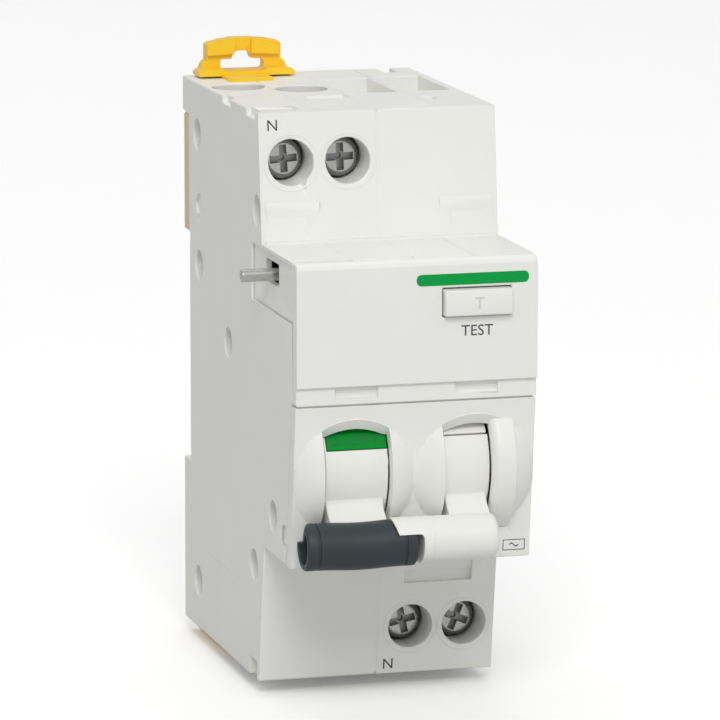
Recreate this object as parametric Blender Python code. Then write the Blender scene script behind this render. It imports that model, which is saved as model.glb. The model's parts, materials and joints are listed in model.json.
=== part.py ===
"""Residual current device for a 35 mm rail: an 18 mm breaker module beside an 18 mm residual current module.

Frame: X to the right across the two modules, -Y out of the front, +Z up. The origin is the middle of
the face that rests on the rail. Every size below is in millimetres and is scaled by MM as a mesh is made.
"""

import math

import bmesh
import bpy
from mathutils import Matrix, Vector

MM = 0.001

# Overall sizes
MODULE = 18.0            # width of one module
TOP_Z = 41.5             # top face above the rail's middle line
BOTTOM_Z = -43.5         # bottom face
NOSE_Z = 22.5            # half height of the front nose
TOP_SHOULDER = (-41.55, -43.6)       # shoulder front: y at the top face, y at the nose
BOTTOM_SHOULDER = (-41.3, -44.35)    # shoulder front: y at the bottom face, y at the nose
HOOK_TOP_Y = 4.5
HOOK_BOTTOM_Y = 4.25
RAIL_HALF = 17.9         # half height of the rail channel
RELIEF = 0.2             # depth of the undercut at each end of the rail seat
RELIEF_Z = 1.9           # height of that undercut

# Walls and gaps
WALL = 1.6
FRONT_WALL = 2.0
PARTITION = 1.4
SEAM = 0.1               # between two shells that are riveted together
GAP = 0.3                # between pieces that touch or run past each other
COVER = 2.2              # thickness of the front covers

# Front covers
FASCIA_Y = -63.35
FASCIA_LOW_Z = 4.57
BAND_Y = -62.85
BAND_LOW_Z = 1.9
PANEL_TOP = (-62.6, 1.6)
PANEL_LOW_Y = -59.85

# Levers
DRUM_R = 9.3
DRUM_FRONT_Y = -62.7    # front of both drums, which the opening frames
AXIS_Y, AXIS_Z = DRUM_FRONT_Y + DRUM_R, -8.6
DOME_ROOM = 2.9          # dome over the drum it covers
DOME_R = DRUM_R + DOME_ROOM
SLOT_HALF = 5.0          # half width of a lever opening
SLOT_TOP, SLOT_LOW = -0.5, -17.9
HANDLE_Y, HANDLE_Z = -65.4, -17.9
HANDLE_R = 3.45
NECK_HALF = 1.5
TONGUE_HALF = 1.1
AXLE_R = 1.2
SWING = 64.0             # degrees from off to on
CRANK_R = 5.0            # lever axis to link pin
ROCKER_R = 8.0           # carrier axis to link pin
CHEEK_X = 11.2           # left side of the fixed cheek beside the narrower right drum

# Contacts
CARRIER_Y, CARRIER_Z = -35.35, -9.55
HUB_R = 2.9
ARM_TIP = (12.5, 6.0)    # contact tip from the carrier axis, switched off
LATCH_Y, LATCH_Z = -47.5, 6.0

# Terminals
EDGE_INSET = (4.8, 4.6)  # outer terminal at the top and at the bottom, from the module's outer side
SEAM_INSET = (4.6, 5.1)  # inner terminals, from the seam between the modules
TERMINAL_DROP = 7.3      # terminal axis, from the top or bottom face
SCREW_HEAD_R = 3.0
SCREW_HEAD_Y = -37.85
SCREW_HEAD_T = 2.2
SCREW_R = 1.75
HEAD_CLEAR = 0.4         # tunnel round the screw head
TUNNEL_R = SCREW_HEAD_R + HEAD_CLEAR
TUNNEL_WALL = 0.8
TUNNEL_END_Y = -33.0
OUTER_WIRE_Y, INNER_WIRE_Y = -11.45, -16.05
ENTRY_R = 4.0
CAGE_HALF_X = 2.75
CAGE_WALL = 0.65
CAGE_HALF_Z = 4.05
CAGE_TRAVEL = 4.0
PLATE_HALF_X = 1.7
PLATE_T = 1.4

# Rivets: (y, z) of the seven through rivets
RIVET_R = 1.4
RIVET_BOSS_R = 2.8
RIVET_SINK_R = 2.25
RIVET_SINK = 3.0
RIVETS = (
    (-4.55, TOP_Z - 7.9), (-5.65, 13.5), (-40.65, 27.1), (-23.45, 4.6),
    (-4.45, BOTTOM_Z + 7.5), (-38.45, -26.2), (-49.55, -16.7),
)

# Rail clips
CLIP_LEFT, CLIP_RIGHT = -15.5, -3.3
CLIP_Y = (1.3, 3.2)
CLIP_NOSE_Z = 16.3

# Small features
TRIP_SLOT_Y, TRIP_SLOT_Z = (-51.25, -43.45), (17.3, 20.6)
TRIP_PIN_Y, TRIP_PIN_Z, TRIP_PIN_R = -48.15, 18.8, 0.95
BUTTON_X, BUTTON_Z = (4.0, 13.8), (14.3, 18.0)
BUTTON_PROUD = 1.25
BUTTON_TRAVEL = 1.5
TEST_RIB_Y = -53.2       # front of the rib behind the test button's spring
POCKET_FLOOR = 5.0       # depth of the two pockets in the top face
COIL_Z = 18.6
COIL_Y = (-35.9, -20.1)
BUS_R = 0.9
PHASE_CROSS = (-27.4, -27.0)     # (y, z) where the phase bar crosses between the modules
NEUTRAL_CROSS = (-10.5, -24.5)
TOROID_Y, TOROID_Z = -19.2, -19.0
BUS_HALF = 1.2           # the two bars' distance from the toroid's axis

LEFT_MID, RIGHT_MID = -MODULE / 2, MODULE / 2
SHELL_SPLIT = MODULE / 2
TERMINAL_TOP_Z = TOP_Z - TERMINAL_DROP
TERMINAL_LOW_Z = BOTTOM_Z + TERMINAL_DROP
INNER_X = MODULE - WALL - GAP        # how far out a piece inside a module reaches
SEAM_X = PARTITION + SEAM / 2 + GAP  # how near the seam a piece inside a module reaches


# ---------------------------------------------------------------- mesh tools
def polar(centre, radius, degrees):
    """A point in the YZ plane. 0 degrees points out of the front and 90 degrees points up."""
    turn = math.radians(degrees)
    return (centre[0] - radius * math.cos(turn), centre[1] + radius * math.sin(turn))


def arc(centre, radius, start, stop, steps):
    """Points along an arc in the YZ plane, both ends included."""
    return [polar(centre, radius, start + (stop - start) * i / steps) for i in range(steps + 1)]


def circle(centre, radius, sides):
    """A regular polygon that stands for a circle, in the plane of its two coordinates."""
    return arc(centre, radius, 0, 360 - 360 / sides, sides - 1)


def add_object(name, mesh):
    """A new object in the scene."""
    obj = bpy.data.objects.new(name, mesh)
    bpy.context.scene.collection.objects.link(obj)
    return obj


def prism(name, outline, axis, low, high):
    """An outline pushed along an axis. Along X it is (y, z), along Y it is (x, z), along Z it is (x, y)."""
    place = {"X": lambda a, b, t: (t, a, b), "Y": lambda a, b, t: (a, t, b), "Z": lambda a, b, t: (a, b, t)}[axis]
    shape = bmesh.new()
    rings = [[shape.verts.new(Vector(place(a, b, t)) * MM) for a, b in outline] for t in (low, high)]
    shape.faces.new(rings[0])
    shape.faces.new(rings[1])
    for i in range(len(outline)):
        j = (i + 1) % len(outline)
        shape.faces.new((rings[0][i], rings[0][j], rings[1][j], rings[1][i]))
    bmesh.ops.recalc_face_normals(shape, faces=shape.faces)
    mesh = bpy.data.meshes.new(name)
    shape.to_mesh(mesh)
    shape.free()
    return add_object(name, mesh)


def box(name, x, y, z):
    """A block between two x, two y and two z values."""
    return prism(name, [(min(x), min(y)), (max(x), min(y)), (max(x), max(y)), (min(x), max(y))], "Z", min(z), max(z))


def rod(name, axis, centre, radius, low, high, sides=16):
    """A round bar along an axis."""
    return prism(name, circle(centre, radius, sides), axis, low, high)


def turned(name, profile, centre, steps):
    """A profile of (x, radius) points turned once round the line along X through centre (y, z)."""
    shape = bmesh.new()
    points = [shape.verts.new(Vector((x, centre[0] - r, centre[1])) * MM) for x, r in profile]
    edges = [shape.edges.new((points[i], points[(i + 1) % len(points)])) for i in range(len(points))]
    bmesh.ops.spin(
        shape, geom=points + edges, cent=Vector((0, centre[0], centre[1])) * MM, axis=(1, 0, 0),
        angle=math.tau, steps=steps, use_merge=True,
    )
    bmesh.ops.remove_doubles(shape, verts=shape.verts, dist=1e-7)
    bmesh.ops.recalc_face_normals(shape, faces=shape.faces)
    mesh = bpy.data.meshes.new(name)
    shape.to_mesh(mesh)
    shape.free()
    return add_object(name, mesh)


def ball(name, centre, radius, across=28, around=16):
    """A sphere with its poles along X."""
    shape = bmesh.new()
    bmesh.ops.create_uvsphere(shape, u_segments=across, v_segments=around, radius=radius * MM)
    bmesh.ops.rotate(shape, verts=shape.verts, matrix=Matrix.Rotation(math.pi / 2, 3, "Y"))
    bmesh.ops.translate(shape, verts=shape.verts, vec=Vector(centre) * MM)
    mesh = bpy.data.meshes.new(name)
    shape.to_mesh(mesh)
    shape.free()
    return add_object(name, mesh)


def wire(name, points, radius, resolution=1):
    """A round wire through points, with flat ends, turned into a mesh."""
    curve = bpy.data.curves.new(name, "CURVE")
    curve.dimensions = "3D"
    curve.bevel_depth = radius * MM
    curve.bevel_resolution = resolution
    curve.use_fill_caps = True
    spline = curve.splines.new("POLY")
    spline.points.add(len(points) - 1)
    for target, point in zip(spline.points, points):
        target.co = (*(Vector(point) * MM), 1.0)
    guide = add_object(name + "_guide", curve)
    graph = bpy.context.evaluated_depsgraph_get()
    mesh = bpy.data.meshes.new_from_object(guide.evaluated_get(graph))
    bpy.data.objects.remove(guide)
    shape = bmesh.new()
    shape.from_mesh(mesh)
    bmesh.ops.remove_doubles(shape, verts=shape.verts, dist=1e-7)
    bmesh.ops.recalc_face_normals(shape, faces=shape.faces)
    shape.to_mesh(mesh)
    shape.free()
    return add_object(name, mesh)


def combine(target, others, operation):
    """One exact Boolean of the target with all the others, which are used up."""
    group = bpy.data.collections.new("operands")
    for other in others:
        group.objects.link(other)
    modifier = target.modifiers.new("combine", "BOOLEAN")
    modifier.operation = operation
    modifier.solver = "EXACT"
    modifier.operand_type = "COLLECTION"
    modifier.collection = group
    graph = bpy.context.evaluated_depsgraph_get()
    result = bpy.data.meshes.new_from_object(target.evaluated_get(graph))
    target.modifiers.remove(modifier)
    target.data = result
    for other in others:
        bpy.data.objects.remove(other)
    bpy.data.collections.remove(group)
    return target


def cut(target, cutters):
    """The target with the cutters taken away."""
    return combine(target, cutters, "DIFFERENCE")


def join(target, others):
    """The target and the others as one solid."""
    return combine(target, others, "UNION")


# ---------------------------------------------------------------- finishes
def finish(name, colour, roughness, metallic=0.0):
    """A plain material."""
    material = bpy.data.materials.new(name)
    material.use_nodes = True
    shader = material.node_tree.nodes["Principled BSDF"]
    shader.inputs["Base Color"].default_value = (*colour, 1.0)
    shader.inputs["Roughness"].default_value = roughness
    shader.inputs["Metallic"].default_value = metallic
    return material


def make_finishes():
    """Every material by its short name."""
    return {
        "housing": finish("housing_white", (0.88, 0.88, 0.85), 0.45),
        "clip": finish("clip_yellow", (0.95, 0.58, 0.02), 0.4),
        "spacer": finish("spacer_beige", (0.72, 0.60, 0.40), 0.5),
        "grip": finish("grip_slate", (0.05, 0.06, 0.07), 0.45),
        "green": finish("indicator_green", (0.01, 0.38, 0.07), 0.4),
        "steel": finish("plated_steel", (0.62, 0.62, 0.60), 0.3, 1.0),
        "copper": finish("copper", (0.80, 0.42, 0.25), 0.3, 1.0),
        "brass": finish("brass", (0.80, 0.62, 0.28), 0.3, 1.0),
        "black": finish("black_moulding", (0.03, 0.03, 0.03), 0.5),
        "board": finish("board_green", (0.03, 0.22, 0.08), 0.5),
    }


def dress(obj, material):
    """Gives an object its one material and smooth shading between its sharp edges."""
    obj.data.materials.clear()
    obj.data.materials.append(material)
    obj.data.shade_smooth()
    obj.data.set_sharp_from_angle(angle=math.radians(35))
    return obj


def hang(axis_name, pivot, objects):
    """Puts an empty on a joint's axis and parents the moving pieces to it, with their origins there too."""
    empty = bpy.data.objects.new(axis_name, None)
    empty.location = Vector(pivot) * MM
    bpy.context.scene.collection.objects.link(empty)
    for obj in objects:
        obj.data.transform(Matrix.Translation(-Vector(pivot) * MM))
        obj.parent = empty


# ---------------------------------------------------------------- shared places
def terminals():
    """Each clamp: name number, x, z, wire y, and +1 at the top or -1 at the bottom."""
    return (
        (1, -MODULE + EDGE_INSET[0], TERMINAL_TOP_Z, OUTER_WIRE_Y, 1),
        (2, -SEAM_INSET[0], TERMINAL_TOP_Z, INNER_WIRE_Y, 1),
        (3, SEAM_INSET[1], TERMINAL_LOW_Z, INNER_WIRE_Y, -1),
        (4, MODULE - EDGE_INSET[1], TERMINAL_LOW_Z, OUTER_WIRE_Y, -1),
    )


def plate_y(wire_y):
    """Front and back of the plate that a wire is clamped against."""
    return (wire_y - 4.35 - PLATE_T, wire_y - 4.35)


def panel_y(z):
    """Front of the sloping lever panel at a height."""
    share = (PANEL_TOP[1] - z) / (PANEL_TOP[1] + NOSE_Z)
    return PANEL_TOP[0] + share * (PANEL_LOW_Y - PANEL_TOP[0])


def crank_pin():
    """Where the link hooks into the lever drum, switched off."""
    return polar((AXIS_Y, AXIS_Z), CRANK_R, 90 - SWING / 2)


def rocker_turn():
    """How far the carrier turns while the lever swings fully, in degrees."""
    reach = CRANK_R * math.sin(math.radians(SWING / 2))
    return 2 * math.degrees(math.asin(reach / ROCKER_R))


def rocker_pin():
    """Where the link hooks into the contact carrier, switched off."""
    return polar((CARRIER_Y, CARRIER_Z), ROCKER_R, 90 - rocker_turn() / 2)


# ---------------------------------------------------------------- housing
def body_outline():
    """Side view of both modules without the front covers, as (y, z)."""
    return [
        (HOOK_TOP_Y, TOP_Z), (HOOK_TOP_Y, RAIL_HALF), (-RELIEF, RAIL_HALF), (-RELIEF, RAIL_HALF - RELIEF_Z),
        (0, RAIL_HALF - RELIEF_Z), (0, RELIEF_Z - RAIL_HALF), (-RELIEF, RELIEF_Z - RAIL_HALF),
        (-RELIEF, -RAIL_HALF), (HOOK_BOTTOM_Y, -RAIL_HALF), (HOOK_BOTTOM_Y, BOTTOM_Z),
        (BOTTOM_SHOULDER[0], BOTTOM_Z), (BOTTOM_SHOULDER[1], -NOSE_Z),
        (panel_y(-NOSE_Z) + COVER + GAP, -NOSE_Z), (PANEL_TOP[0] + COVER + GAP, PANEL_TOP[1]),
        (FASCIA_Y + COVER + GAP, BAND_LOW_Z + GAP), (FASCIA_Y + COVER + GAP, NOSE_Z),
        (TOP_SHOULDER[1], NOSE_Z), (TOP_SHOULDER[0], TOP_Z),
    ]


def cavity_outline():
    """Side view of the hollow inside a module, open at the front."""
    return [
        (-WALL, TOP_Z - WALL), (-WALL, BOTTOM_Z + WALL), (BOTTOM_SHOULDER[0] + FRONT_WALL, BOTTOM_Z + WALL),
        (BOTTOM_SHOULDER[1] + FRONT_WALL, WALL - NOSE_Z), (FASCIA_Y - 5, WALL - NOSE_Z),
        (FASCIA_Y - 5, NOSE_Z - WALL), (TOP_SHOULDER[1] + FRONT_WALL, NOSE_Z - WALL),
        (TOP_SHOULDER[0] + FRONT_WALL, TOP_Z - WALL),
    ]


def shoulder_outline(shoulder, end_z, grow):
    """Side view of one shoulder's front wall, from just above the nose to the end face."""
    side = 1 if end_z > 0 else -1
    inner = max(shoulder) + FRONT_WALL + GAP + grow
    past = 10 * grow
    return [
        (shoulder[1] - past, side * (NOSE_Z + SEAM - grow)), (shoulder[0] - past, end_z + side * past),
        (inner, end_z + side * past), (inner, side * (NOSE_Z + SEAM - grow)),
    ]


def rivet_bosses(low, high):
    """The tubes that the rivets pass through, as solid bars."""
    return [rod("boss", "X", centre, RIVET_BOSS_R, low, high, 12) for centre in RIVETS]


def rivet_holes():
    """Cutters for the rivet shanks."""
    return [rod("hole", "X", c, RIVET_R + GAP, -MODULE - 2, MODULE + 2, 12) for c in RIVETS]


def pivots(side):
    """The pins that a module's shells carry: centre, pin radius, boss radius, inner ends of the two bosses."""
    if side < 0:
        return (
            ((AXIS_Y, AXIS_Z), AXLE_R, 2.6, MODULE - 3.7, 4.1),
            ((CARRIER_Y, CARRIER_Z), AXLE_R, 2.4, MODULE - 2.7, 2.7),
        )
    return (((AXIS_Y, AXIS_Z), AXLE_R, 2.6, CHEEK_X + 0.2, 4.0),)


def outer_shell(name, side):
    """The shell with a module's outer side, which also carries both shoulders' front walls across the module."""
    far, split, seam = side * MODULE, side * (SHELL_SPLIT + SEAM / 2), side * SEAM / 2
    shell = prism(name, body_outline(), "X", min(far, split), max(far, split))
    wall = side * (MODULE - WALL)
    past = side * (SHELL_SPLIT - 3)
    cut(shell, [prism("hollow", cavity_outline(), "X", min(wall, past), max(wall, past))])
    inside = side * (SHELL_SPLIT + 2)
    parts = [
        prism("front", shoulder_outline(shoulder, end, 0), "X", min(inside, seam), max(inside, seam))
        for shoulder, end in ((TOP_SHOULDER, TOP_Z), (BOTTOM_SHOULDER, BOTTOM_Z))
    ]
    root = side * (MODULE - WALL / 2)
    parts += rivet_bosses(min(root, split), max(root, split))
    holes = rivet_holes()
    for centre, pin_r, boss_r, end, _ in pivots(side):
        low, high = sorted((root, side * end))
        parts.append(rod("boss", "X", centre, boss_r, low, high, 16))
        low, high = sorted((side * (MODULE - WALL + 0.4), side * (end - 1)))
        holes.append(rod("bearing", "X", centre, pin_r + GAP, low, high, 16))
    if side < 0:
        parts.append(latch_post(root, side * (SHELL_SPLIT - 3.6)))
    else:
        parts += [latch_post(root, side * (SHELL_SPLIT - 2.6)), test_rib(root), pocket_block(split, root)]
    for number, x, z, _, end in terminals():
        if x * side > 0:
            reach = TOP_SHOULDER[0] if end > 0 else BOTTOM_SHOULDER[0]
            tunnel = rod("tunnel", "Y", (x, z), TUNNEL_R + TUNNEL_WALL, reach + 0.6, TUNNEL_END_Y, 24)
            beyond = sorted((side * SEAM / 2, -side * MODULE))
            parts.append(cut(tunnel, [box("beyond", beyond, (reach, TUNNEL_END_Y + 1), (z - 9, z + 9))]))
            holes.append(rod("bore", "Y", (x, z), TUNNEL_R, reach - 6, TUNNEL_END_Y + 3, 24))
    join(shell, parts)
    sink = sorted((far - side * RIVET_SINK, far + side))
    holes += [rod("sink", "X", centre, RIVET_SINK_R, sink[0], sink[1], 16) for centre in RIVETS]
    holes += entry_cutters(side)
    return cut(shell, holes)


def inner_shell(name, side):
    """The shell with the partition beside the other module."""
    seam, split = side * SEAM / 2, side * (SHELL_SPLIT - SEAM / 2)
    shell = prism(name, body_outline(), "X", min(seam, split), max(seam, split))
    partition = side * (SEAM / 2 + PARTITION)
    past = side * (SHELL_SPLIT + 2)
    cut(shell, [prism("hollow", cavity_outline(), "X", min(partition, past), max(partition, past))])
    root = side * PARTITION / 2
    parts = rivet_bosses(min(root, split), max(root, split))
    holes = rivet_holes()
    for centre, pin_r, boss_r, _, end in pivots(side):
        low, high = sorted((root, side * end))
        parts.append(rod("boss", "X", centre, boss_r, low, high, 16))
        low, high = sorted((side * (SEAM / 2 + 0.85), side * (end + 1)))
        holes.append(rod("bearing", "X", centre, pin_r + GAP, low, high, 16))
    if side > 0:
        parts.append(pocket_block(seam, split))
    join(shell, parts)
    for shoulder, end in ((TOP_SHOULDER, TOP_Z), (BOTTOM_SHOULDER, BOTTOM_Z)):
        outline = shoulder_outline(shoulder, end, SEAM)
        holes.append(prism("front", outline, "X", min(side * -1, past), max(side * -1, past)))
    for _, x, z, _, end in terminals():
        if x * side > 0:
            clear = TUNNEL_R + TUNNEL_WALL + GAP
            holes.append(rod("clear", "Y", (x, z), clear, TOP_SHOULDER[1] - 4, TUNNEL_END_Y + GAP, 24))
    for cross in (PHASE_CROSS, NEUTRAL_CROSS):
        holes.append(rod("pass", "X", cross, BUS_R + 2 * GAP, min(0, side * 3), max(0, side * 3), 12))
    holes += entry_cutters(side)
    return cut(shell, holes)


def pocket_block(low, high):
    """Solid material under the top face, which the two pockets are sunk into."""
    return box("block", (low, high), (-24.9, -3.0), (TOP_Z - POCKET_FLOOR - 1.2, TOP_Z - 0.5))


def latch_post(root, end):
    """The moulded post that a trip latch turns on."""
    return rod("post", "X", (LATCH_Y, LATCH_Z), 0.9, min(root, end), max(root, end), 12)


def test_rib(root):
    """The rib behind the test button that its spring pushes against."""
    return box("rib", (root, RIGHT_MID - 5.6), (TEST_RIB_Y, TEST_RIB_Y + 1.2), (12.4, 19.6))


def entry_cutters(side):
    """Cable entries, pockets, notches and grooves that open a module's faces."""
    cutters = []
    for _, x, z, wire_y, end in terminals():
        if x * side > 0:
            face = TOP_Z if end > 0 else BOTTOM_Z
            low, high = sorted((face + end, face - end * (WALL + 0.6)))
            cutters.append(rod("entry", "Z", (x, wire_y), ENTRY_R, low, high, 24))
    if side > 0:
        floor = TOP_Z - POCKET_FLOOR
        cutters.append(box("pocket", (1.0, SHELL_SPLIT - 0.6), (-23.15, -6.15), (floor, TOP_Z + 1)))
        cutters.append(box("pocket", (SHELL_SPLIT + 0.7, MODULE - 1.25), (-22.85, -5.55), (floor, TOP_Z + 1)))
        cutters.append(box("notch", (MODULE - 5.1, MODULE - 3.0), (-0.4, HOOK_TOP_Y + 1), (TOP_Z - 3, TOP_Z + 1)))
        cutters.append(box("notch", (MODULE - 7.7, MODULE - 5.9), (-32.45, -29.05), (TOP_Z - 1, TOP_Z + 1)))
        cutters += window_cutters()
        return cutters
    edge = (-MODULE - 1, -MODULE + 0.9)
    cutters += [
        box("rim", edge, (-25.15, -20.35), (TOP_Z - 1.1, TOP_Z + 1)),
        box("rim", edge, (-40.0, -34.55), (TOP_Z - 1.1, TOP_Z + 1)),
        box("rim", (-MODULE - 1, -MODULE + 1.2), (-40.0, -36.15), (BOTTOM_Z - 1, BOTTOM_Z + 2.8)),
        box("groove", (-6.5, -0.3), (-27.85, -24.35), (TOP_Z - 0.5, TOP_Z + 1)),
        box("groove", (-MODULE + 1.0, -12.5), (-21.8, -21.0), (TOP_Z - 0.4, TOP_Z + 1)),
        box("groove", (-MODULE + 1.0, -11.0), (-38.25, -34.85), (TOP_Z - 0.5, TOP_Z + 1)),
        clip_channel(),
    ]
    cutters += [
        rod("dimple", "X", (-5.85, 22.8), 1.85, -MODULE - 1, -MODULE + 0.4, 16),
        rod("dimple", "X", (-56.4, -18.3), 1.65, -MODULE - 1, -MODULE + 0.4, 16),
        box("slot", (-MODULE - 1, -MODULE + WALL + 1), TRIP_SLOT_Y, TRIP_SLOT_Z),
        box("step", (-MODULE - 1, -MODULE + 0.5), (FASCIA_Y, -37.6), (13.6, NOSE_Z - 0.5)),
        box("seat", (-MODULE - 1, -MODULE + WALL), (0.35, HOOK_TOP_Y + 1), (RAIL_HALF - 1, TOP_Z - 5.3)),
    ]
    return cutters


def clip_channel():
    """The channel behind the breaker that both rail clips slide in."""
    return box(
        "channel", (CLIP_LEFT - GAP, CLIP_RIGHT + GAP), (CLIP_Y[0] - GAP, CLIP_Y[1] + GAP),
        (BOTTOM_Z - 2, TOP_Z + 2),
    )


def window_cutters():
    """The window in the lower shoulder: a sloped band over a narrow deep slot."""
    x = (3.9, MODULE - 3.65)
    front = BOTTOM_SHOULDER[1]
    band = prism("band", [(front - 3, -24.0), (front + 0.1, -24.0), (front + 1.3, -27.8), (front - 3, -27.8)], "X", *x)
    return [band, box("window", x, (front - 3, front + 1.6), (-29.35, -27.7))]


def make_shells(finishes):
    """The four shells of the two modules."""
    shells = [
        outer_shell("breaker_left_shell", -1), inner_shell("breaker_right_shell", -1),
        inner_shell("residual_left_shell", 1), outer_shell("residual_right_shell", 1),
    ]
    return [dress(shell, finishes["housing"]) for shell in shells]


def make_fascia(finishes):
    """The plate above the levers, with a lowered band along its foot."""
    back, bevel = FASCIA_Y + COVER, 0.9
    outline = [
        (back, NOSE_Z), (FASCIA_Y + bevel, NOSE_Z), (FASCIA_Y + 0.25, NOSE_Z - 0.25), (FASCIA_Y, NOSE_Z - bevel),
        (FASCIA_Y, FASCIA_LOW_Z), (BAND_Y, FASCIA_LOW_Z), (BAND_Y, BAND_LOW_Z), (back, BAND_LOW_Z),
    ]
    fascia = prism("label_fascia", outline, "X", -MODULE, MODULE)
    room = [
        (BUTTON_X[0] - GAP, BUTTON_X[1] + GAP), (FASCIA_Y - 1, back + 1), (BUTTON_Z[0] - GAP, BUTTON_Z[1] + GAP),
    ]
    middle = (FASCIA_LOW_Z + BAND_LOW_Z) / 2 + 0.33
    recesses = [
        box("recess", (mid - 3.2, mid + 3.2), (BAND_Y - 1, BAND_Y + 0.6), (middle - 0.8, middle + 0.8))
        for mid in (LEFT_MID, RIGHT_MID)
    ]
    return dress(cut(fascia, [box("button_hole", *room)] + recesses), finishes["housing"])


def lever_opening(left, right):
    """A lever's opening through the panel, with a lip that slopes in towards the drum at its top."""
    tip = AXIS_Y - math.sqrt((DRUM_R + GAP) ** 2 - (SLOT_TOP - 2.2 - AXIS_Z) ** 2) - 0.35
    outline = [
        (FASCIA_Y - 9, SLOT_LOW), (FASCIA_Y - 9, SLOT_TOP), (panel_y(SLOT_TOP) - 0.1, SLOT_TOP),
        (tip, SLOT_TOP - 2.2), (tip + 6, SLOT_TOP - 2.2), (tip + 6, SLOT_LOW),
    ]
    return prism("opening", outline, "X", left, right)


def make_lever_panel(finishes):
    """The sloping plate with two domes, which the lever drums stand behind."""
    centre = (AXIS_Y, AXIS_Z)
    low, high = panel_y(-NOSE_Z), PANEL_TOP[0]
    outline = [(high, PANEL_TOP[1]), (low, -NOSE_Z), (low + COVER, -NOSE_Z), (high + COVER, PANEL_TOP[1])]
    panel = prism("lever_panel", outline, "X", -MODULE, MODULE)
    mids = (LEFT_MID, RIGHT_MID)
    keep_outline = [
        (high + COVER / 2, PANEL_TOP[1] - 0.4), (low + COVER / 2, -NOSE_Z + 0.4),
        (FASCIA_Y - 9, -NOSE_Z + 0.4), (FASCIA_Y - 9, PANEL_TOP[1] - 0.4),
    ]
    domes = []
    for mid in mids:
        dome = ball("dome", (mid, AXIS_Y, AXIS_Z), DOME_R)
        keep = prism("keep", keep_outline, "X", mid - MODULE / 2, mid + MODULE / 2)
        domes.append(combine(dome, [keep], "INTERSECT"))
    join(panel, domes)
    hollow_r = DOME_R - 1.7
    cutters = [ball("hollow", (mid, AXIS_Y, AXIS_Z), hollow_r) for mid in mids]
    cutters += [
        rod("sweep", "X", centre, DRUM_R + GAP, mid - SLOT_HALF, mid + SLOT_HALF, 48) for mid in mids
    ]
    cutters.append(lever_opening(LEFT_MID - SLOT_HALF, LEFT_MID + SLOT_HALF))
    cutters.append(lever_opening(RIGHT_MID - SLOT_HALF, RIGHT_MID + SLOT_HALF))
    cut(panel, cutters)
    return dress(join(panel, [make_cheek()]), finishes["housing"])


def make_cheek():
    """The rounded fixed cheek at the right of the right drum."""
    outer = RIGHT_MID + SLOT_HALF + 0.6
    bore = DRUM_R + GAP
    profile = [
        (CHEEK_X, bore), (CHEEK_X, bore + 0.9), (CHEEK_X + 0.8, bore + 1.8), (CHEEK_X + 1.8, bore + 2.25),
        (outer, bore + 2.3), (outer, bore),
    ]
    cheek = turned("cheek", profile, (AXIS_Y, AXIS_Z), 48)
    top = polar((AXIS_Y, AXIS_Z), DOME_R + 6, 36)
    low = polar((AXIS_Y, AXIS_Z), DOME_R + 6, -44)
    keep = prism("keep", [(AXIS_Y + 2, AXIS_Z), top, (top[0] - 6, AXIS_Z), low], "X", CHEEK_X - 1, outer + 1)
    return combine(cheek, [keep], "INTERSECT")


def make_rivets(finishes):
    """The seven rivets, each with a set head at the left and a turned-over end at the right."""
    made = []
    reach = MODULE - RIVET_SINK + GAP
    for number, centre in enumerate(RIVETS, 1):
        rivet = rod(f"rivet_{number}", "X", centre, RIVET_R, -reach - 0.5, reach + 0.5, 12)
        heads = [
            rod("head", "X", centre, RIVET_SINK_R - GAP, side * reach + min(0, side), side * reach + max(0, side), 12)
            for side in (-1, 1)
        ]
        made.append(dress(join(rivet, heads), finishes["steel"]))
    return made


def make_spacer(finishes):
    """The strip that fills the notch in the left back edge."""
    strip = box(
        "rear_spacer", (-MODULE, -MODULE + WALL - GAP), (0.35 + GAP, 3.6), (RAIL_HALF, TOP_Z - 5.3 - GAP)
    )
    return dress(strip, finishes["spacer"])


# ---------------------------------------------------------------- rail clips
def make_top_clip(finishes):
    """The upper rail clip: a plate down the back, and a finger loop above the top face."""
    mid = (CLIP_LEFT + CLIP_RIGHT) / 2
    foot = TOP_Z + GAP
    clip = box("top_rail_clip", (CLIP_LEFT, CLIP_RIGHT), CLIP_Y, (CLIP_NOSE_Z, TOP_Z + 2.2))
    outline = [
        (CLIP_LEFT, foot), (CLIP_RIGHT, foot), (CLIP_RIGHT, TOP_Z + 5.0), (CLIP_RIGHT - 1.2, TOP_Z + 5.6),
        (mid + 1.5, TOP_Z + 5.9), (mid + 1.2, TOP_Z + 5.4), (mid - 1.2, TOP_Z + 5.4), (mid - 1.5, TOP_Z + 5.9),
        (CLIP_LEFT + 1.2, TOP_Z + 5.6), (CLIP_LEFT, TOP_Z + 5.0),
    ]
    loop = prism("loop", outline, "Y", 0.2, CLIP_Y[1])
    flange = box("flange", (CLIP_LEFT - 1.2, CLIP_RIGHT + 1.7), (-0.35, CLIP_Y[1]), (foot, TOP_Z + 2.2))
    tongue = box("tongue", (mid - 4.0, mid + 4.1), (-6.85, 0.0), (foot, TOP_Z + 1.8))
    join(clip, [loop, flange, tongue])
    window = [
        (mid - 3.3, TOP_Z + 0.9), (mid + 3.3, TOP_Z + 0.9), (mid + 3.3, TOP_Z + 2.3), (mid + 1.6, TOP_Z + 2.3),
        (mid + 1.0, TOP_Z + 3.6), (mid - 1.0, TOP_Z + 3.6), (mid - 1.6, TOP_Z + 2.3), (mid - 3.3, TOP_Z + 2.3),
    ]
    return dress(cut(clip, [prism("window", window, "Y", -0.9, HOOK_TOP_Y)]), finishes["clip"])


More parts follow.
